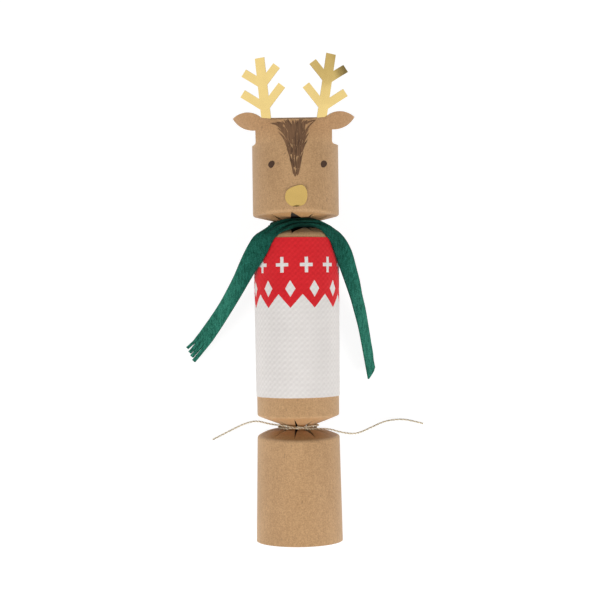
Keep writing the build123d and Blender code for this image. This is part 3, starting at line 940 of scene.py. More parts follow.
def card_tube(name, line, tips, widths):
    """A tube's surface with petals at its necks."""
    made = petal_strip(name, line, tips, widths)
    first = math.radians(slit_phase + 180 / slit_count)
    made = grown(made, petal_ring, Count=slit_count, First=first, Height=axis_height * MM,
                 Weld=petal_weld * MM, Finish=kraft)
    made.data.materials.clear()
    made.data.materials.append(kraft)
    made.data.polygons.foreach_set("material_index", [0] * len(made.data.polygons))
    return made


lap_rows = 12
lap_parts = 8
lap_skin = 0.2
lap_slope = 1.2


def lap_slab(name, ends, margin=0.6):
    """The seam's inner lap and the step from it to the wall, as a closed strip inside the tube."""
    deep = card + seam_tape + 2 * seam_clearance
    points = []
    (r0, y0), (r1, y1) = ends
    y0, y1 = y0 + margin, y1 - margin
    for i in range(lap_rows + 1):
        radius = r0 + (r1 - r0) * i / lap_rows
        along = y0 + (y1 - y0) * i / lap_rows
        half = seam_width / 2 / radius
        step = seam_step / radius
        slope = step * lap_slope
        outline = [(-half, lap_skin), (-half + step, lap_skin), (-half + slope, deep)]
        outline += [(-half + slope + (2 * half - slope) * k / lap_parts, deep)
                    for k in range(1, lap_parts + 1)]
        outline += [(-half + 2 * half * k / lap_parts, deep + card)
                    for k in range(lap_parts, -1, -1)]
        for angle, depth in outline:
            a = math.radians(seam_angle) + angle
            r = radius - depth
            points.append((r * math.sin(a), along, axis_height + r * math.cos(a)))
    faces = grid_faces(lap_rows + 1, len(outline), closed=True)
    made = piece(name, points, faces, kraft, kraft_inside_painted_shade, kraft_edge)
    shape = bmesh.new()
    shape.from_mesh(made.data)
    bmesh.ops.holes_fill(shape, edges=[e for e in shape.edges if e.is_boundary])
    bmesh.ops.recalc_face_normals(shape, faces=shape.faces)
    bmesh.ops.triangulate(shape, faces=[f for f in shape.faces if len(f.verts) > 4])
    shape.to_mesh(made.data)
    shape.free()
    # The whole lap takes the inside's darker card, which is painted shade.
    made.data.polygons.foreach_set("material_index", [1] * len(made.data.polygons))
    return made


def card_walls(made):
    """Thickens a tube's surface inwards, with its own inside, made darker as painted shade, and cut edges.
    """
    made.data.materials.append(kraft_inside_painted_shade)
    made.data.materials.append(kraft_edge)
    return thicken(made, card, -1, (1, 2))


line_step = 1.6
waist_bend = 0.5
foot_bend = 1.8
body_low_bend = 1.6
body_high_bend = 4.0
head_bend = 1.8
foot_slit_extra = 1.4
front_slit_extra = 8.5
front_slit_shares = (0.15, 0.85)
foot_fold_shift = -1.2
foot_bulge = 0.8
body_fold_shift = -0.6
head_fold_shift = 1.9
body_lap_margin = 1.5

foot_tip = foot_neck_radius - slit_margin
foot_low_waist = (waist_radius, lower_waist - waist_half)
foot_line = rounded_line([
    (foot_rim_radius, 0), (foot_neck_radius, foot_shoulder),
    on_cone((foot_neck_radius, foot_shoulder), foot_low_waist, foot_tip),
    foot_low_waist, (waist_radius, lower_waist - tear_half)], [foot_bend, 0, waist_bend], line_step)
foot_tube = card_tube("foot_tube", foot_line, [foot_tip], [foot_slit_width])
open_slit(foot_tube, 1, foot_slit_extra, (0.5, 0.5), (foot_shoulder - 1, lower_waist), foot_tip)
bow_fold(foot_tube, foot_shoulder, foot_neck_radius, -1, foot_fold_shift, foot_bulge)
foot_tube = welded(foot_tube)
foot_lap = lap_slab("foot_lap", [(foot_rim_radius, 0), (foot_neck_radius, foot_shoulder)])
foot = smooth(joined("foot_card", card_walls(foot_tube), foot_lap))

body_tips = [body_lower_radius - slit_margin, body_upper_radius - upper_slit_margin]
body_low_waist = (waist_radius, lower_waist + waist_half)
body_high_waist = (waist_radius, upper_waist - waist_half)
body_line = rounded_line([
    (waist_radius, lower_waist + tear_half), body_low_waist,
    on_cone(body_low_waist, (body_lower_radius, body_bottom), body_tips[0]),
    (body_lower_radius, body_bottom), (body_upper_radius, body_top),
    body_high_waist, (waist_radius, upper_waist - tear_half)],
    [waist_bend, 0, body_low_bend, body_high_bend, waist_bend], line_step)
body_tube = card_tube("body_tube", body_line, body_tips, [body_low_slit_width, slit_width])
open_slit(body_tube, 0, front_slit_extra, front_slit_shares, (body_top - 1, upper_waist), body_tips[1])
bow_fold(body_tube, body_top, body_upper_radius, -1, body_fold_shift)
body_tube = welded(body_tube)
body_lap = lap_slab(
    "body_lap", [(body_lower_radius, body_bottom), (body_upper_radius, body_top)], body_lap_margin)
body = smooth(joined("body_card", card_walls(body_tube), body_lap))

# Head: the tube, and the face panel with its ears cut from the same card


def sheet_front(x, rise, depth=0.0):
    """How far in front of the axis the face's sheet lies, across it and above the back rim."""
    apex = head_radius - depth
    if rise <= 0:
        return math.sqrt(max(0, apex * apex - x * x))
    top = sheet_top_radius - depth
    share = min(1, rise / sheet_rise)
    low_spread, top_spread = math.radians(sheet_low_spread), math.radians(sheet_top_spread)
    least, most = -1.0, 1.0
    for _ in range(32):
        t = (least + most) / 2
        if (1 - share) * apex * math.sin(low_spread * t) + share * top * math.sin(top_spread * t) < x:
            least = t
        else:
            most = t
    return ((1 - share) * apex * math.cos(low_spread * t)
            + share * (top * math.cos(top_spread * t) - top + apex))


nudge = 0.05


def on_face(x, along, lift=0.0):
    """A point on the face, raised by a lift along the surface's normal."""
    here = Vector((x, along, axis_height + sheet_front(x, along - back_rim)))
    if lift == 0:
        return here
    aside = Vector((x + nudge, along, axis_height + sheet_front(x + nudge, along - back_rim)))
    above = Vector((x, along + nudge, axis_height + sheet_front(x, along + nudge - back_rim)))
    return here + (aside - here).cross(above - here).normalized() * lift


notch_parts = 6
side_parts = 5
belly_parts = 14
crest_parts = 18


def panel_edge(side):
    """One side of the panel's outline with its ear, from the notch at the rim up to its corner."""
    def at(x, y):
        return (panel_offset + side * x, y)

    edge = panel_half
    root, tip = at(edge, ear_root), at(edge + ear_reach, ear_tip)
    belly = at(edge + ear_belly[0] * ear_reach, ear_belly[1])
    crest = at(edge + ear_crest[0] * ear_reach, ear_crest[1])
    turn = panel_notch * (1 - math.sqrt(0.5))
    notch = at(edge + panel_notch, 0), at(edge + turn, turn), at(edge, panel_notch)
    line = arc_through(*notch, notch_parts)
    for i in range(1, side_parts + 1):
        line.append(at(edge, panel_notch + (ear_root - panel_notch) * i / side_parts))
    line += arc_through(root, belly, tip, belly_parts)
    line += arc_through(tip, crest, at(edge - ear_shoulder, panel_height), crest_parts)
    return line


panel_step = 1.3
panel_weld = 0.03
rim_reach = 0.01
head_tip = head_radius - slit_margin
head_low_waist = (waist_radius, upper_waist + waist_half)
head_line = rounded_line([
    (waist_radius, upper_waist + tear_half), head_low_waist,
    on_cone(head_low_waist, (head_radius, head_bottom), head_tip),
    (head_radius, head_bottom), (head_radius, back_rim)], [waist_bend, 0, head_bend], line_step)
head_tube = card_tube("head_tube", head_line, [head_tip], [slit_width])
open_slit(head_tube, 0, front_slit_extra, front_slit_shares, (upper_waist, head_bottom + 1), head_tip)
bow_fold(head_tube, head_bottom, head_radius, 1, head_fold_shift)
rim = [v.co / MM for v in head_tube.data.vertices if abs(v.co.y / MM - back_rim) < rim_reach]
reach = panel_half + panel_notch
rim = [p for p in rim if p.z > axis_height and abs(p.x - panel_offset) < reach]
rim = sorted({(round(p.x, 4), 0.0) for p in rim})
left_side, right_side = panel_edge(-1), panel_edge(1)
panel_loop = rim + right_side + left_side[::-1]
flat, panel_faces = filled([panel_loop], panel_step, lambda spot: inside(spot, panel_loop))
panel = piece("panel", [on_face(p.x, back_rim + p.y) for p in flat], panel_faces)
head_tube = welded(joined("head_tube", head_tube, panel), panel_weld)
head_lap = lap_slab("head_lap", [(head_radius, head_bottom), (head_radius, back_rim)])
head = smooth(joined("head_card", card_walls(head_tube), head_lap))

# Print on the face: eyes, and the tuft's brush strokes

eye_places = ((-13.8, 221.8), (16.6, 221.8))
eye_half = (1.84, 2.1)
eye_tilt = 0.35
eye_wobble = 0.04
eye_parts = 32
print_lift = 0.03
print_depth = 0.02


def eye_disc(x, along):
    """The points and faces of one eye, a leaning oval that isn't quite even."""
    points = [on_face(x, along, print_lift)]
    for i in range(eye_parts):
        a = math.tau * i / eye_parts
        bulge = 1 + eye_wobble * math.sin(3 * a + x)
        aside, up = eye_half[0] * bulge * math.sin(a), eye_half[1] * bulge * math.cos(a)
        points.append(on_face(x + aside + eye_tilt * up / eye_half[1], along + up, print_lift))
    return points, [(0, i + 1, (i + 1) % eye_parts + 1) for i in range(eye_parts)]


stroke_steps = 12
stroke_point = 0.06


def brush_stroke(start, bend, end, width, lift, dice):
    """A tapering stroke on the face from start by way of bend to end, with a ragged side."""
    points = []
    start, bend, end = Vector(start), Vector(bend), Vector(end)
    for i in range(stroke_steps + 1):
        t = i / stroke_steps
        centre = start * (1 - t) ** 2 + bend * (2 * t * (1 - t)) + end * t ** 2
        way = ((bend - start) * (1 - t) + (end - bend) * t).normalized()
        aside = Vector((-way.y, way.x))
        wide = width * (0.6 + 0.4 * min(1, t * 5)) * (1 - t ** 2.2) ** 0.8 + stroke_point
        for side in (-0.5, 0, 0.5):
            spot = centre + aside * (wide * side * (1 + dice.uniform(-0.12, 0.12)))
            points.append(on_face(spot.x, spot.y, lift))
    return points, grid_faces(stroke_steps + 1, 3)


def collected(name, shapes, material, thickness):
    """One thin printed piece from several patches of points and faces."""
    points, faces = [], []
    for more_points, more_faces in shapes:
        first = len(points)
        points += more_points
        faces += [tuple(first + k for k in face) for face in more_faces]
    made = piece(name, points, faces, material)
    shape = bmesh.new()
    shape.from_mesh(made.data)
    flipped = [f for f in shape.faces if f.normal.z < 0]
    bmesh.ops.reverse_faces(shape, faces=flipped)
    shape.to_mesh(made.data)
    shape.free()
    return smooth(thicken(made, thickness, 1))


tuft_low = 214.2
tuft_high = 247.9
tuft_rows = 9
tuft_row_step = 3.5
stroke_spacing = 1.15
stroke_lift = 0.0011
# How far along the face, and where the tuft's left and right sides are there.
tuft_sides = [
    (tuft_low, -1.1, 1.6), (217, -1.9, 2.5), (220, -2.6, 3.2), (224, -3.6, 3.9),
    (228, -4.6, 4.7), (232, -5.5, 5.6), (236, -6.3, 6.4), (240, -7.6, 7.3),
    (243, -9.8, 7.8), (245, -12.4, 8.2), (248.4, -14.8, 8.9)]


def tuft_spot(along, share):
    """A place in the tuft: along the face, and from -1 at its left side to 1 at its right side."""
    for (y0, l0, r0), (y1, l1, r1) in zip(tuft_sides, tuft_sides[1:]):
        if along <= y1:
            break
    t = max(0, (along - y0) / (y1 - y0))
    left, right = l0 + (l1 - l0) * t, r0 + (r1 - r0) * t
    return ((left + right) / 2 + share * (right - left) / 2, along)


dice = random.Random(24)
strokes = []
for row in range(tuft_rows):
    root = tuft_low + tuft_row_step * row
    wide = tuft_spot(root + 3, 1)[0] - tuft_spot(root + 3, -1)[0]
    count = max(3, round(wide / stroke_spacing))
    for k in range(count):
        share = 2 * (k + 0.5) / count - 1 + dice.uniform(-0.10, 0.10)
        low = root + dice.uniform(-1.7, 1.8) + abs(share) * min(1, row)
        length = dice.uniform(5.4, 8.2)
        top = min(low + length, tuft_high - 2.6 * max(0, -share) + dice.uniform(-1.4, 0.2))
        flick = 1.04 + 0.5 * max(0, abs(share) - 0.6) + dice.uniform(-0.08, 0.14)
        path = [tuft_spot(max(tuft_low, low), share * 0.84),
                tuft_spot((low + top) / 2, share * 0.86),
                tuft_spot(top, share * flick)]
        width = dice.uniform(0.80, 1.12) + 0.045 * row
        strokes.append(brush_stroke(*path, width, print_lift + stroke_lift * len(strokes), dice))
tuft = collected("tuft_print", strokes, ink, print_depth)
eyes = collected("eye_prints", [eye_disc(*place) for place in eye_places], eye_ink, print_depth)

# Gold antlers and nose


def strip_loop(start, angle, length, width):
    """A straight strip's outline in steps of a millimetre, leaning from upright by an angle."""
    a = math.radians(angle)
    way, aside = Vector((math.sin(a), math.cos(a))), Vector((math.cos(a), -math.sin(a)))
    start = Vector(start)
    low, high = start - aside * (width / 2), start + aside * (width / 2)
    corners = [low, high, high + way * length, low + way * length]
    loop = []
    for a, b in zip(corners, corners[1:] + corners[:1]):
        parts = math.ceil((b - a).length)
        loop += [tuple(a.lerp(b, i / parts)) for i in range(parts)]
    return loop


antler_step = 0.9
droop_from = 0.45
curl_from = 4
curl_ease = 2


def antler(name, side, extra, droop, curl):
    """One antler: a leaning stem with two tines at each fork, behind the panel, that droops backwards."""
    foot_x = antler_offset + side * antler_spacing / 2
    height = antler_height + extra
    lean = side * antler_lean + antler_sway
    slope = math.tan(math.radians(lean))
    stem_length = height / math.cos(math.radians(lean))
    loops = [strip_loop((foot_x, panel_height), lean, stem_length, antler_stem)]
    loops.append(strip_loop((foot_x, panel_height - antler_tab), 0, antler_tab + card, antler_stem))
    for fork, length in zip((fork_heights[0], height - fork_heights[1]), tine_lengths):
        on_stem = (foot_x + fork * slope, panel_height + fork)
        loops.append(strip_loop(on_stem, side * tine_angles[0], length, tine_width))
        loops.append(strip_loop(on_stem, -side * tine_angles[1], length, tine_width))
    flat, faces = filled(loops, antler_step, lambda spot: any(inside(spot, loop) for loop in loops))
    points = []
    for x, rise in flat:
        up = max(0, rise - panel_height - droop_from * height)
        out = max(0, side * (x - foot_x - (rise - panel_height) * slope) - antler_stem / 2)
        fall = droop * up * up + curl * max(0, up - curl_from) * out * out / (out + curl_ease)
        points.append((x, back_rim + rise, axis_height + sheet_front(x, rise, antler_depth) - fall))
    made = piece(name, points, faces, gold, gold_back, kraft_edge)
    return smooth(thicken(welded(made), card, -1, (1, 2)), 40)


left_antler = antler("left_antler_card", -1, 0, droop=0.0012, curl=0.0)
right_antler = antler("right_antler_card", 1, right_extra, droop=0.0046, curl=0.014)

nose_shape = [
    (-1, -0.08), (-0.7, 0.6), (0.4, 1), (0.88, 0.66), (1, -0.06), (0.7, -0.8), (-0.22, -1), (-0.8, -0.68)]
nose_shape = [Vector((x * nose_half[0], y * nose_half[1])) for x, y in nose_shape]
nose_parts = 8
nose_step = 0.4
nose_foil = 0.08
nose_lift = 0.46
nose_dome = 0.05
tuck_depth = 0.28
tuck_from = 0.72
tuck_limit = 1.35


def make_nose():
    """Foil stuck on the head, a little domed by its glue and tucked in along its lower edge."""
    around = nose_shape[-2:] + nose_shape + nose_shape[:3]
    loop = catmull(around, (len(around) - 1) * nose_parts + 1)
    loop = [tuple(p) for p in loop[2 * nose_parts:(2 + len(nose_shape)) * nose_parts]]
    flat, faces = filled([loop], nose_step, lambda spot: inside(spot, loop))
    points = []
    for p in flat:
        away = math.hypot(p.x / nose_half[0], p.y / nose_half[1])
        low = max(0, (0.2 * p.x - 0.98 * p.y) / nose_half[1] - tuck_from) / (1 - tuck_from)
        lift = nose_lift - nose_dome * min(1, away ** 2) - tuck_depth * min(tuck_limit, low * low)
        points.append(on_face(nose_shift + p.x, head_bottom + nose_rise + p.y, lift))
    made = piece("nose_card", points, faces, gold_foil)
    return smooth(thicken(welded(made), nose_foil, 1), 50)


nose = make_nose()

# Printed band round the body

lap_from = 354
lap_run = 6
lap_gap = 0.05
band_back = 0.8
band_weld = 0.0005


def band_place(share_round, share_up, depth, around):
    """A point of the band, round from its start, up from its lower edge and below its outer face."""
    along = band_bottom + (band_top - band_bottom) * share_up
    share = (along - body_bottom) / (body_top - body_bottom)
    radius = body_lower_radius + share * (body_upper_radius - body_lower_radius) + band_gap + band_paper
    turn = around * share_round
    over = max(0, min(1, (turn - lap_from) / lap_run))
    radius += over * over * (3 - 2 * over) * (band_paper + lap_gap) - depth
    return round_axis(band_lap_angle + turn, radius, along)


def make_band():
    """The band: one long strip of paper that starts at the back, goes round and laps over its start."""
    around = 360 + math.degrees(band_lap / body_upper_radius)
    wide = round(stitches_round * around / 360)
    high = stitch_rows
    columns, rows = stitch_parts * wide, stitch_parts * high
    points = []
    for i in range(rows + 1):
        for j in range(columns + 1):
            across, up = math.tau * j / stitch_parts, math.tau * i / stitch_parts
            knit = stitch_height * math.cos(up) * (knit_rows + knit_cells * math.cos(across))
            within = 0 < i < rows and 0 < j < columns
            points.append(band_place(j / columns, i / rows, -knit if within else 0, around))
    first = len(points)
    for i in range(high + 1):
        for j in range(wide + 1):
            points.append(band_place(j / wide, i / high, band_paper * band_back, around))
    faces = grid_faces(rows + 1, columns + 1)
    faces += [tuple(first + k for k in reversed(face)) for face in grid_faces(high + 1, wide + 1)]
    outer = grid_rim(rows + 1, columns + 1)
    inner = grid_rim(high + 1, wide + 1, first)
    for k in range(len(inner)):
        run = [outer[(stitch_parts * k + n) % len(outer)] for n in range(stitch_parts + 1)]
        faces.append((inner[k], inner[(k + 1) % len(inner)], *reversed(run)))
    made = piece("band_paper", points, faces, sweater, paper_white)
    stitches = rows * columns
    made.data.polygons.foreach_set("material_index", [0 if n < stitches else 1 for n in range(len(faces))])
    return smooth(welded(made, band_weld), 60)


band = make_band()

# Felt scarf

# Each station of the strip: its outer edge, its inner edge, its arch and how deep it is pleated.
scarf_stations = [
    ((-59.4, 124.2, 2.6), (-51.7, 119.0, 10.6), 0.3, 0.0),
    ((-53.1, 132.5, 6.4), (-45.6, 127.7, 14.4), 0.3, 0.0),
    ((-47.2, 140.8, 11.8), (-39.8, 136.3, 20.0), 0.3, 0.0),
    ((-42.1, 149.1, 18.5), (-34.2, 144.7, 26.4), 0.3, 0.0),
    ((-37.4, 157.4, 25.9), (-29.0, 152.8, 33.0), 0.3, 0.0),
    ((-33.8, 164.8, 32.5), (-24.5, 159.6, 38.0), 0.3, 0.0),
    ((-30.6, 171.0, 38.2), (-20.1, 165.7, 43.1), 0.3, 0.0),
    ((-27.8, 175.8, 41.6), (-17.2, 170.6, 46.0), 0.4, 0.0),
    ((-25.0, 179.9, 43.2), (-14.9, 175.5, 47.8), 0.5, 0.1),
    ((-21.9, 182.3, 44.2), (-12.4, 179.4, 49.2), 0.6, 0.2),
    ((-17.7, 184.9, 45.0), (-9.9, 181.4, 49.4), 0.6, 0.4),
    ((-13.9, 187.2, 45.3), (-7.0, 182.9, 48.9), 0.6, 0.6),
    ((-9.3, 189.0, 44.2), (-3.6, 184.2, 47.4), 0.6, 0.8),
    ((-5.0, 189.9, 43.2), (-0.6, 185.6, 44.8), 0.6, 0.9),
    ((0.0, 190.2, 42.6), (2.8, 186.2, 43.4), 0.6, 1.0),
    ((5.0, 190.3, 42.6), (6.4, 186.4, 43.2), 0.6, 0.9),
    ((10.0, 190.1, 42.6), (9.6, 185.9, 43.8), 0.6, 0.8),
    ((15.0, 189.0, 42.4), (13.8, 184.7, 45.2), 0.6, 0.7),
    ((19.3, 186.9, 41.6), (16.9, 182.4, 45.5), 0.6, 0.5),
    ((22.8, 184.3, 39.0), (18.5, 179.8, 44.6), 0.5, 0.3),
    ((26.2, 181.6, 36.5), (20.3, 177.1, 42.9), 0.4, 0.1),
    ((29.6, 177.3, 34.4), (21.7, 173.2, 41.2), 0.3, 0.0),
    ((32.3, 172.2, 32.5), (23.1, 169.1, 39.0), 0.3, 0.0),
    ((34.1, 166.9, 29.8), (24.8, 164.0, 36.4), 0.3, 0.0),
    ((35.7, 161.0, 25.9), (26.9, 158.3, 33.0), 0.3, 0.0),
    ((37.7, 153.7, 20.4), (29.5, 151.4, 28.6), 0.3, 0.0),
    ((39.3, 145.6, 14.9), (32.2, 143.9, 24.2), 0.3, 0.0),
    ((41.4, 137.0, 9.4), (34.6, 135.7, 19.2), 0.3, 0.0),
    ((43.2, 127.0, 4.9), (37.2, 126.1, 15.2), 0.3, 0.0),
    ((44.9, 116.4, 2.2), (39.2, 115.9, 12.6), 0.3, 0.0),
]
pleat_depth = 1.0
pleat_turns = 2.4
pleat_drift = 5
table_gap = 0.6
ring_count = 260
strand_columns = 4
fringe_steps = 10
strand_weld = 0.01
left_slant = 0.6
right_slant = 3.2
# Each strand of a fringe: its length, its gap to the next one, how far aside it goes, and its lift.
left_fringe = [
    (14.2, 0.5, -2.4, 0.3), (15.4, 0.4, -1.9, 0.25), (16.4, 0.6, -1.6, 0.2), (17.8, 0.6, -1.3, 0.15)]
right_fringe = [(19.4, 0.12, 0.0, 0.1)] * strands


def scarf_rings():
    """Close rings along the strip: place, direction, across, up, width, arch and pleats."""
    outer, inner = (catmull([Vector(s[k]) for s in scarf_stations], ring_count) for k in (0, 1))
    arches, pleats = (catmull([s[k] for s in scarf_stations], ring_count) for k in (2, 3))
    rings = []
    for i in range(ring_count):
        before, after = max(i - 1, 0), min(i + 1, ring_count - 1)
        ahead = (outer[after] + inner[after] - outer[before] - inner[before]).normalized()
        across = inner[i] - outer[i]
        up = across.cross(ahead).normalized()
        pleat = (pleats[i] * pleat_depth, pleat_drift * i / ring_count)
        rings.append(((outer[i] + inner[i]) / 2, ahead, across.normalized(), up, across.length,
                      arches[i], pleat))
    return rings


def strand_row(ring, strand, gap=0.0, aside=0.0, lift=0.0):
    """The points across one strand of the strip, which touches the next strand where gap is 0."""
    place, _, across, up, width, arch, (pleat, drift) = ring
    middle = 2 * (strand + 0.5) / strands - 1
    row = []
    for j in range(strand_columns + 1):
        t = 2 * (strand + j / strand_columns) / strands - 1
        shrunk = middle + (t - middle) * (1 - gap * strands / width)
        rise = lift - arch * t * t + pleat * math.cos(math.pi * (pleat_turns * t + drift))
        row.append(place + across * (shrunk * width / 2 + aside) + up * rise)
    return row


def fringe_rows(ring, sense, strand, slant, length, gap, aside, lift):
    """The rows of one strand of the fringe, out from the strip's end."""
    rows = []
    for k in range(1, fringe_steps + 1):
        share = k / fringe_steps
        start = strand_row(
            ring, strand, gap * min(1, share * 2), aside * share ** 1.5, lift * share * share)
        row = []
        for j, spot in enumerate(start):
            t = 2 * (strand + j / strand_columns) / strands - 1
            spot = spot + ring[1] * (sense * share * (length + slant * t))
            row.append(Vector((spot.x, spot.y, max(spot.z, table_gap))))
        rows.append(row)
    return rows


def make_strip():
    """The strip from fringe to fringe."""
    rings = scarf_rings()
    points, faces = [], []
    for strand in range(strands):
        rows = fringe_rows(rings[0], -1, strand, left_slant, *left_fringe[strand])[::-1]
        rows += [strand_row(ring, strand) for ring in rings]
        rows += fringe_rows(rings[-1], 1, strand, right_slant, *right_fringe[strand])
        first = len(points)
        points += [spot for row in rows for spot in row]
        faces += [tuple(first + k for k in face) for face in grid_faces(len(rows), strand_columns + 1)]
    return welded(piece("scarf_strip", points, faces, green_felt), strand_weld)


roll_around = 150
roll_across = 26
roll_from = 12
roll_turn = 336
roll_radius = 14.3
roll_wave = 0.2
roll_sway = 25
roll_start = -60
roll_wind = 390
roll_inner = 0.95
roll_growth = 1.3
roll_drop = -0.1
roll_squash = 0.92
roll_felt = 0.9
felt_bevel = 0.16


def make_roll():
    """The rolled part of the scarf, which goes on round the back of the neck."""
    points = []
    for i in range(roll_around + 1):
        angle = roll_from + roll_turn * i / roll_around
        for j in range(roll_across + 1):
            q = j / roll_across
            sway = roll_sway * math.sin(math.radians(3 * angle))
            a = math.radians(roll_start + roll_wind * q + sway)
            r = roll_inner + roll_growth * q
            radius = roll_radius + roll_wave * math.sin(math.radians(5 * angle)) + r * math.cos(a)
            rise = roll_drop + r * math.sin(a) * roll_squash
            points.append(round_axis(angle, radius, upper_waist + rise))
    faces = grid_faces(roll_around + 1, roll_across + 1)
    return welded(piece("scarf_roll", points, faces, green_felt))


def make_scarf():
    """The strip and the roll as one piece of felt with soft edges."""
    made = joined("scarf_felt", thicken(make_strip(), felt, 0), thicken(make_roll(), roll_felt, 0))
    edge = made.modifiers.new("soft_edges", "BEVEL")
    edge.width = felt_bevel * MM
    edge.segments = 2
    edge.limit_method = "ANGLE"
    edge.angle_limit = math.radians(50)
    return smooth(settle(made), 60)


scarf = make_scarf()

# Twine

laid_twine = twine_tree()
twine_lay = 2.6
ply_radius = 0.26
ply_offset = 0.26
ply_step = 0.22
knot_half = 34
knot_rise = 0.75
knot_draw = 0.45
tie_steps = 440
fibre_radius = 0.028
fibre_root = -0.05
fibre_lean = 0.12
table_skin = 0.03


def line_object(name, points):
    """Points in metres joined by edges."""
    mesh = bpy.data.meshes.new(name)
    mesh.from_pydata(points, [(i, i + 1) for i in range(len(points) - 1)], [])
    return new_object(name, mesh)


def spike():
    """One loose fibre: a thin spike of length 1 that stands on the spot it grows from."""
    turns = (0, math.tau / 3, 2 * math.tau / 3)
    points = [(fibre_radius * math.cos(a), fibre_radius * math.sin(a), fibre_root) for a in turns]
    points.append((fibre_lean, 0.0, 1.0))
    made = new_object("spike", bpy.data.meshes.new("spike"))
    made.data.from_pydata(points, [], [(0, 2, 1), (0, 1, 3), (1, 2, 3), (2, 0, 3)])
    return made


loose_fibres = hair_tree()
fibre = spike()


def fuzzy(made, density, length, lean, seed, finish):
    """The piece with loose fibres on it, none of which goes into the table."""
    fuzz = new_object(made.name + "_fuzz", made.data.copy())
    fuzz = grown(fuzz, loose_fibres, Density=density * 1e6, Length=length * MM, Lean=lean,
                 Seed=seed, Hair=fibre, Finish=finish)
    for v in fuzz.data.vertices:
        v.co.z = max(v.co.z, table_skin * MM)
    made.data.materials.append(finish)
    slot = len(made.data.materials) - 1
    fuzz.data.polygons.foreach_set("material_index", [slot] * len(fuzz.data.polygons))
    return joined(made.name, made, fuzz)


def make_twine(name, points):
    """Twine laid along points in metres, with its loose fibres."""
    made = grown(line_object(name, points), laid_twine, Plies=2, Lay=twine_lay * MM,
                 Ply=ply_radius * MM, Offset=ply_offset * MM, Step=ply_step * MM, Finish=yarn)
    return fuzzy(made, density=2.2, length=1.1, lean=0.9, seed=7, finish=yarn_fuzz)


def tie_points():
    """The turn round the neck, whose two ends wind round each other once across the front."""
    start, end = -twine_front_angle, 360 + twine_front_angle
    points = []
    for i in range(tie_steps + 1):
        angle = start + (end - start) * i / tie_steps
        point, _ = twine_point(angle)
        before, front = (1, angle) if angle < 180 else (-1, angle - 360)
        if abs(front) < knot_half:
            share = (front + knot_half) / (2 * knot_half)
            wound = math.tau * share * share * (3 - 2 * share)
            lift = math.sin(math.pi * share) ** 0.5
            aside = before * twine_pitch / 2 * (1 - knot_draw * lift)
            along = lower_waist - twine_pitch * front / 360 + aside * math.cos(wound)
            radius = twine_turn_radius + knot_rise * lift + aside * math.sin(wound)
            point = round_axis(front, radius, along)
        points.append(point * MM)
    return points


left_twine = make_twine("left_twine", left_line)
right_twine = make_twine("right_twine", right_line)
tie = make_twine("tie_twine", tie_points())
bpy.data.objects.remove(fibre)

# What rides on what

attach(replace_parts(foot, "foot_barrel"), "foot")
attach(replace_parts(body, "body_barrel"), "body")
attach(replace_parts(head, "head_barrel"), "head")
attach(tuft, "head")
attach(eyes, "head")
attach(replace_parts(left_antler, "left_antler"), "head")
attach(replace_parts(right_antler, "right_antler"), "head")
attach(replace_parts(nose, "nose_foil"), "head")
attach(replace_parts(band, "sweater_band"), "body")
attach(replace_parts(scarf, "scarf"), "body")
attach(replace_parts(tie, "twine_tie"), "body")
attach(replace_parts(left_twine, "twine_left_tail"), "body")
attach(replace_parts(right_twine, "twine_right_tail"), "body")


# Studio: a white floor, a white sky, three soft lamps and two glowing cards for painted reflections

floor_half = 4000
sky_light = 0.25
sky_slope = -0.12
lamp_size = 0.6
lamp_target = Vector((0, 0.14, 0.02))


def bare_tree(owner):
    """The emptied node tree of a material or a world."""
    owner.use_nodes = True
    owner.node_tree.nodes.clear()
    return owner.node_tree


def seen_by(tree, *rays):
    """1 for rays of these kinds, and 0 for all others."""
    path = add(tree, "ShaderNodeLightPath")
    seen = Number(tree, path.outputs[rays[0]])
    for ray in rays[1:]:
        seen = seen.most(Number(tree, path.outputs[ray]))
    return seen


floor_finish = bpy.data.materials.new("floor")
tree = bare_tree(floor_finish)
seen = seen_by(tree, "Is Camera Ray", "Is Glossy Ray", "Is Transmission Ray")
paper = add(tree, "ShaderNodeBsdfDiffuse", {"Color": (0.8, 0.8, 0.8, 1)})
bright = add(tree, "ShaderNodeEmission", {"Color": (1, 1, 1, 1), "Strength": 0.88})
shadowed = add(tree, "ShaderNodeBsdfDiffuse", {"Color": (0.24, 0.24, 0.24, 1)})
white = add(tree, "ShaderNodeAddShader", {0: bright, 1: shadowed})
either = add(tree, "ShaderNodeMixShader", {0: seen, 1: paper, 2: white})
add(tree, "ShaderNodeOutputMaterial", {"Surface": either})
corners = [(-floor_half, -floor_half, 0), (floor_half, -floor_half, 0),
           (floor_half, floor_half, 0), (-floor_half, floor_half, 0)]
floor = piece("floor", corners, [(0, 1, 2, 3)], floor_finish)

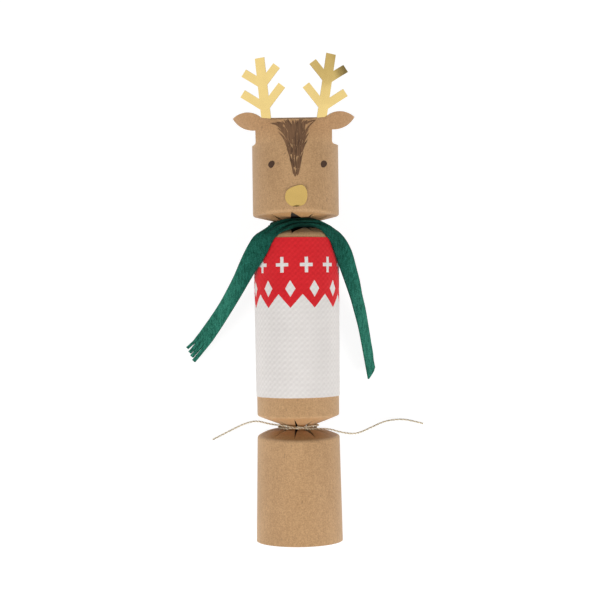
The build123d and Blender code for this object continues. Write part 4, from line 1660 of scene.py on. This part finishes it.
world = bpy.data.worlds.new("studio")
tree = bare_tree(world)
seen = seen_by(tree, "Is Camera Ray", "Is Glossy Ray")
place = add(tree, "ShaderNodeTexCoord").outputs["Generated"]
way = add(tree, "ShaderNodeSeparateXYZ", {"Vector": place})
light = Number(tree, way.outputs[1]) * sky_slope + sky_light
strength = seen * (1.0 - light) + light
sky = add(tree, "ShaderNodeBackground", {"Color": (1, 1, 1, 1), "Strength": strength})
add(tree, "ShaderNodeOutputWorld", {"Surface": sky})
scene.world = world


def lamp(name, place, power):
    """A round soft lamp that points at the object and shows in no picture or reflection."""
    data = bpy.data.lights.new(name, "AREA")
    data.shape = "DISK"
    data.size = lamp_size
    data.energy = power
    made = bpy.data.objects.new(name, data)
    made.location = place
    made.rotation_euler = (lamp_target - made.location).to_track_quat("-Z", "Y").to_euler()
    made.visible_camera = False
    made.visible_glossy = False
    scene.collection.objects.link(made)


lamp("left_lamp", (-0.95, -0.38, 0.72), power=9.0)
lamp("right_lamp", (0.95, -0.38, 0.72), power=9.0)
lamp("foot_lamp", (0.0, -0.75, 0.75), power=1.4)


def reflection_card(name, ends, low, heights, dark_to, grey_from, shades):
    """A glowing upright card that only reflections see, for painted reflections on the shiny pieces: dark
    up to one height and grey from another one on.
    """
    (x0, y0), (x1, y1) = ends
    corners = [(x0, y0, low), (x1, y1, low), (x1, y1, heights[1]), (x0, y0, heights[0])]
    material = bpy.data.materials.new(name)
    tree = bare_tree(material)
    place = add(tree, "ShaderNodeTexCoord").outputs["Object"]
    up = Number(tree, add(tree, "ShaderNodeSeparateXYZ", {"Vector": place}).outputs[2])
    share = spread(tree, up, dark_to * MM, grey_from * MM)
    shine = add(tree, "ShaderNodeEmission", {
        "Color": (1, 0.95, 0.84, 1), "Strength": share * (shades[1] - shades[0]) + shades[0]})
    add(tree, "ShaderNodeOutputMaterial", {"Surface": shine})
    made = piece(name, corners, [(0, 1, 2, 3)], material)
    made.visible_camera = False
    made.visible_diffuse = False
    made.visible_shadow = False
    made.visible_transmission = False


# Painted reflections: the right card darkens the right antler's tine, and the foot card the nose's lower
# edge.
reflection_card("right_grey_card", [(860, 470), (480, 1010)], 0, (1000, 2700), 40, 520, (0.12, 0.68))
reflection_card("foot_grey_card", [(-300, -500), (400, -500)], 420, (2600, 2600), 900, 2600, (0.03, 0.30))

scene.view_settings.view_transform = "Standard"
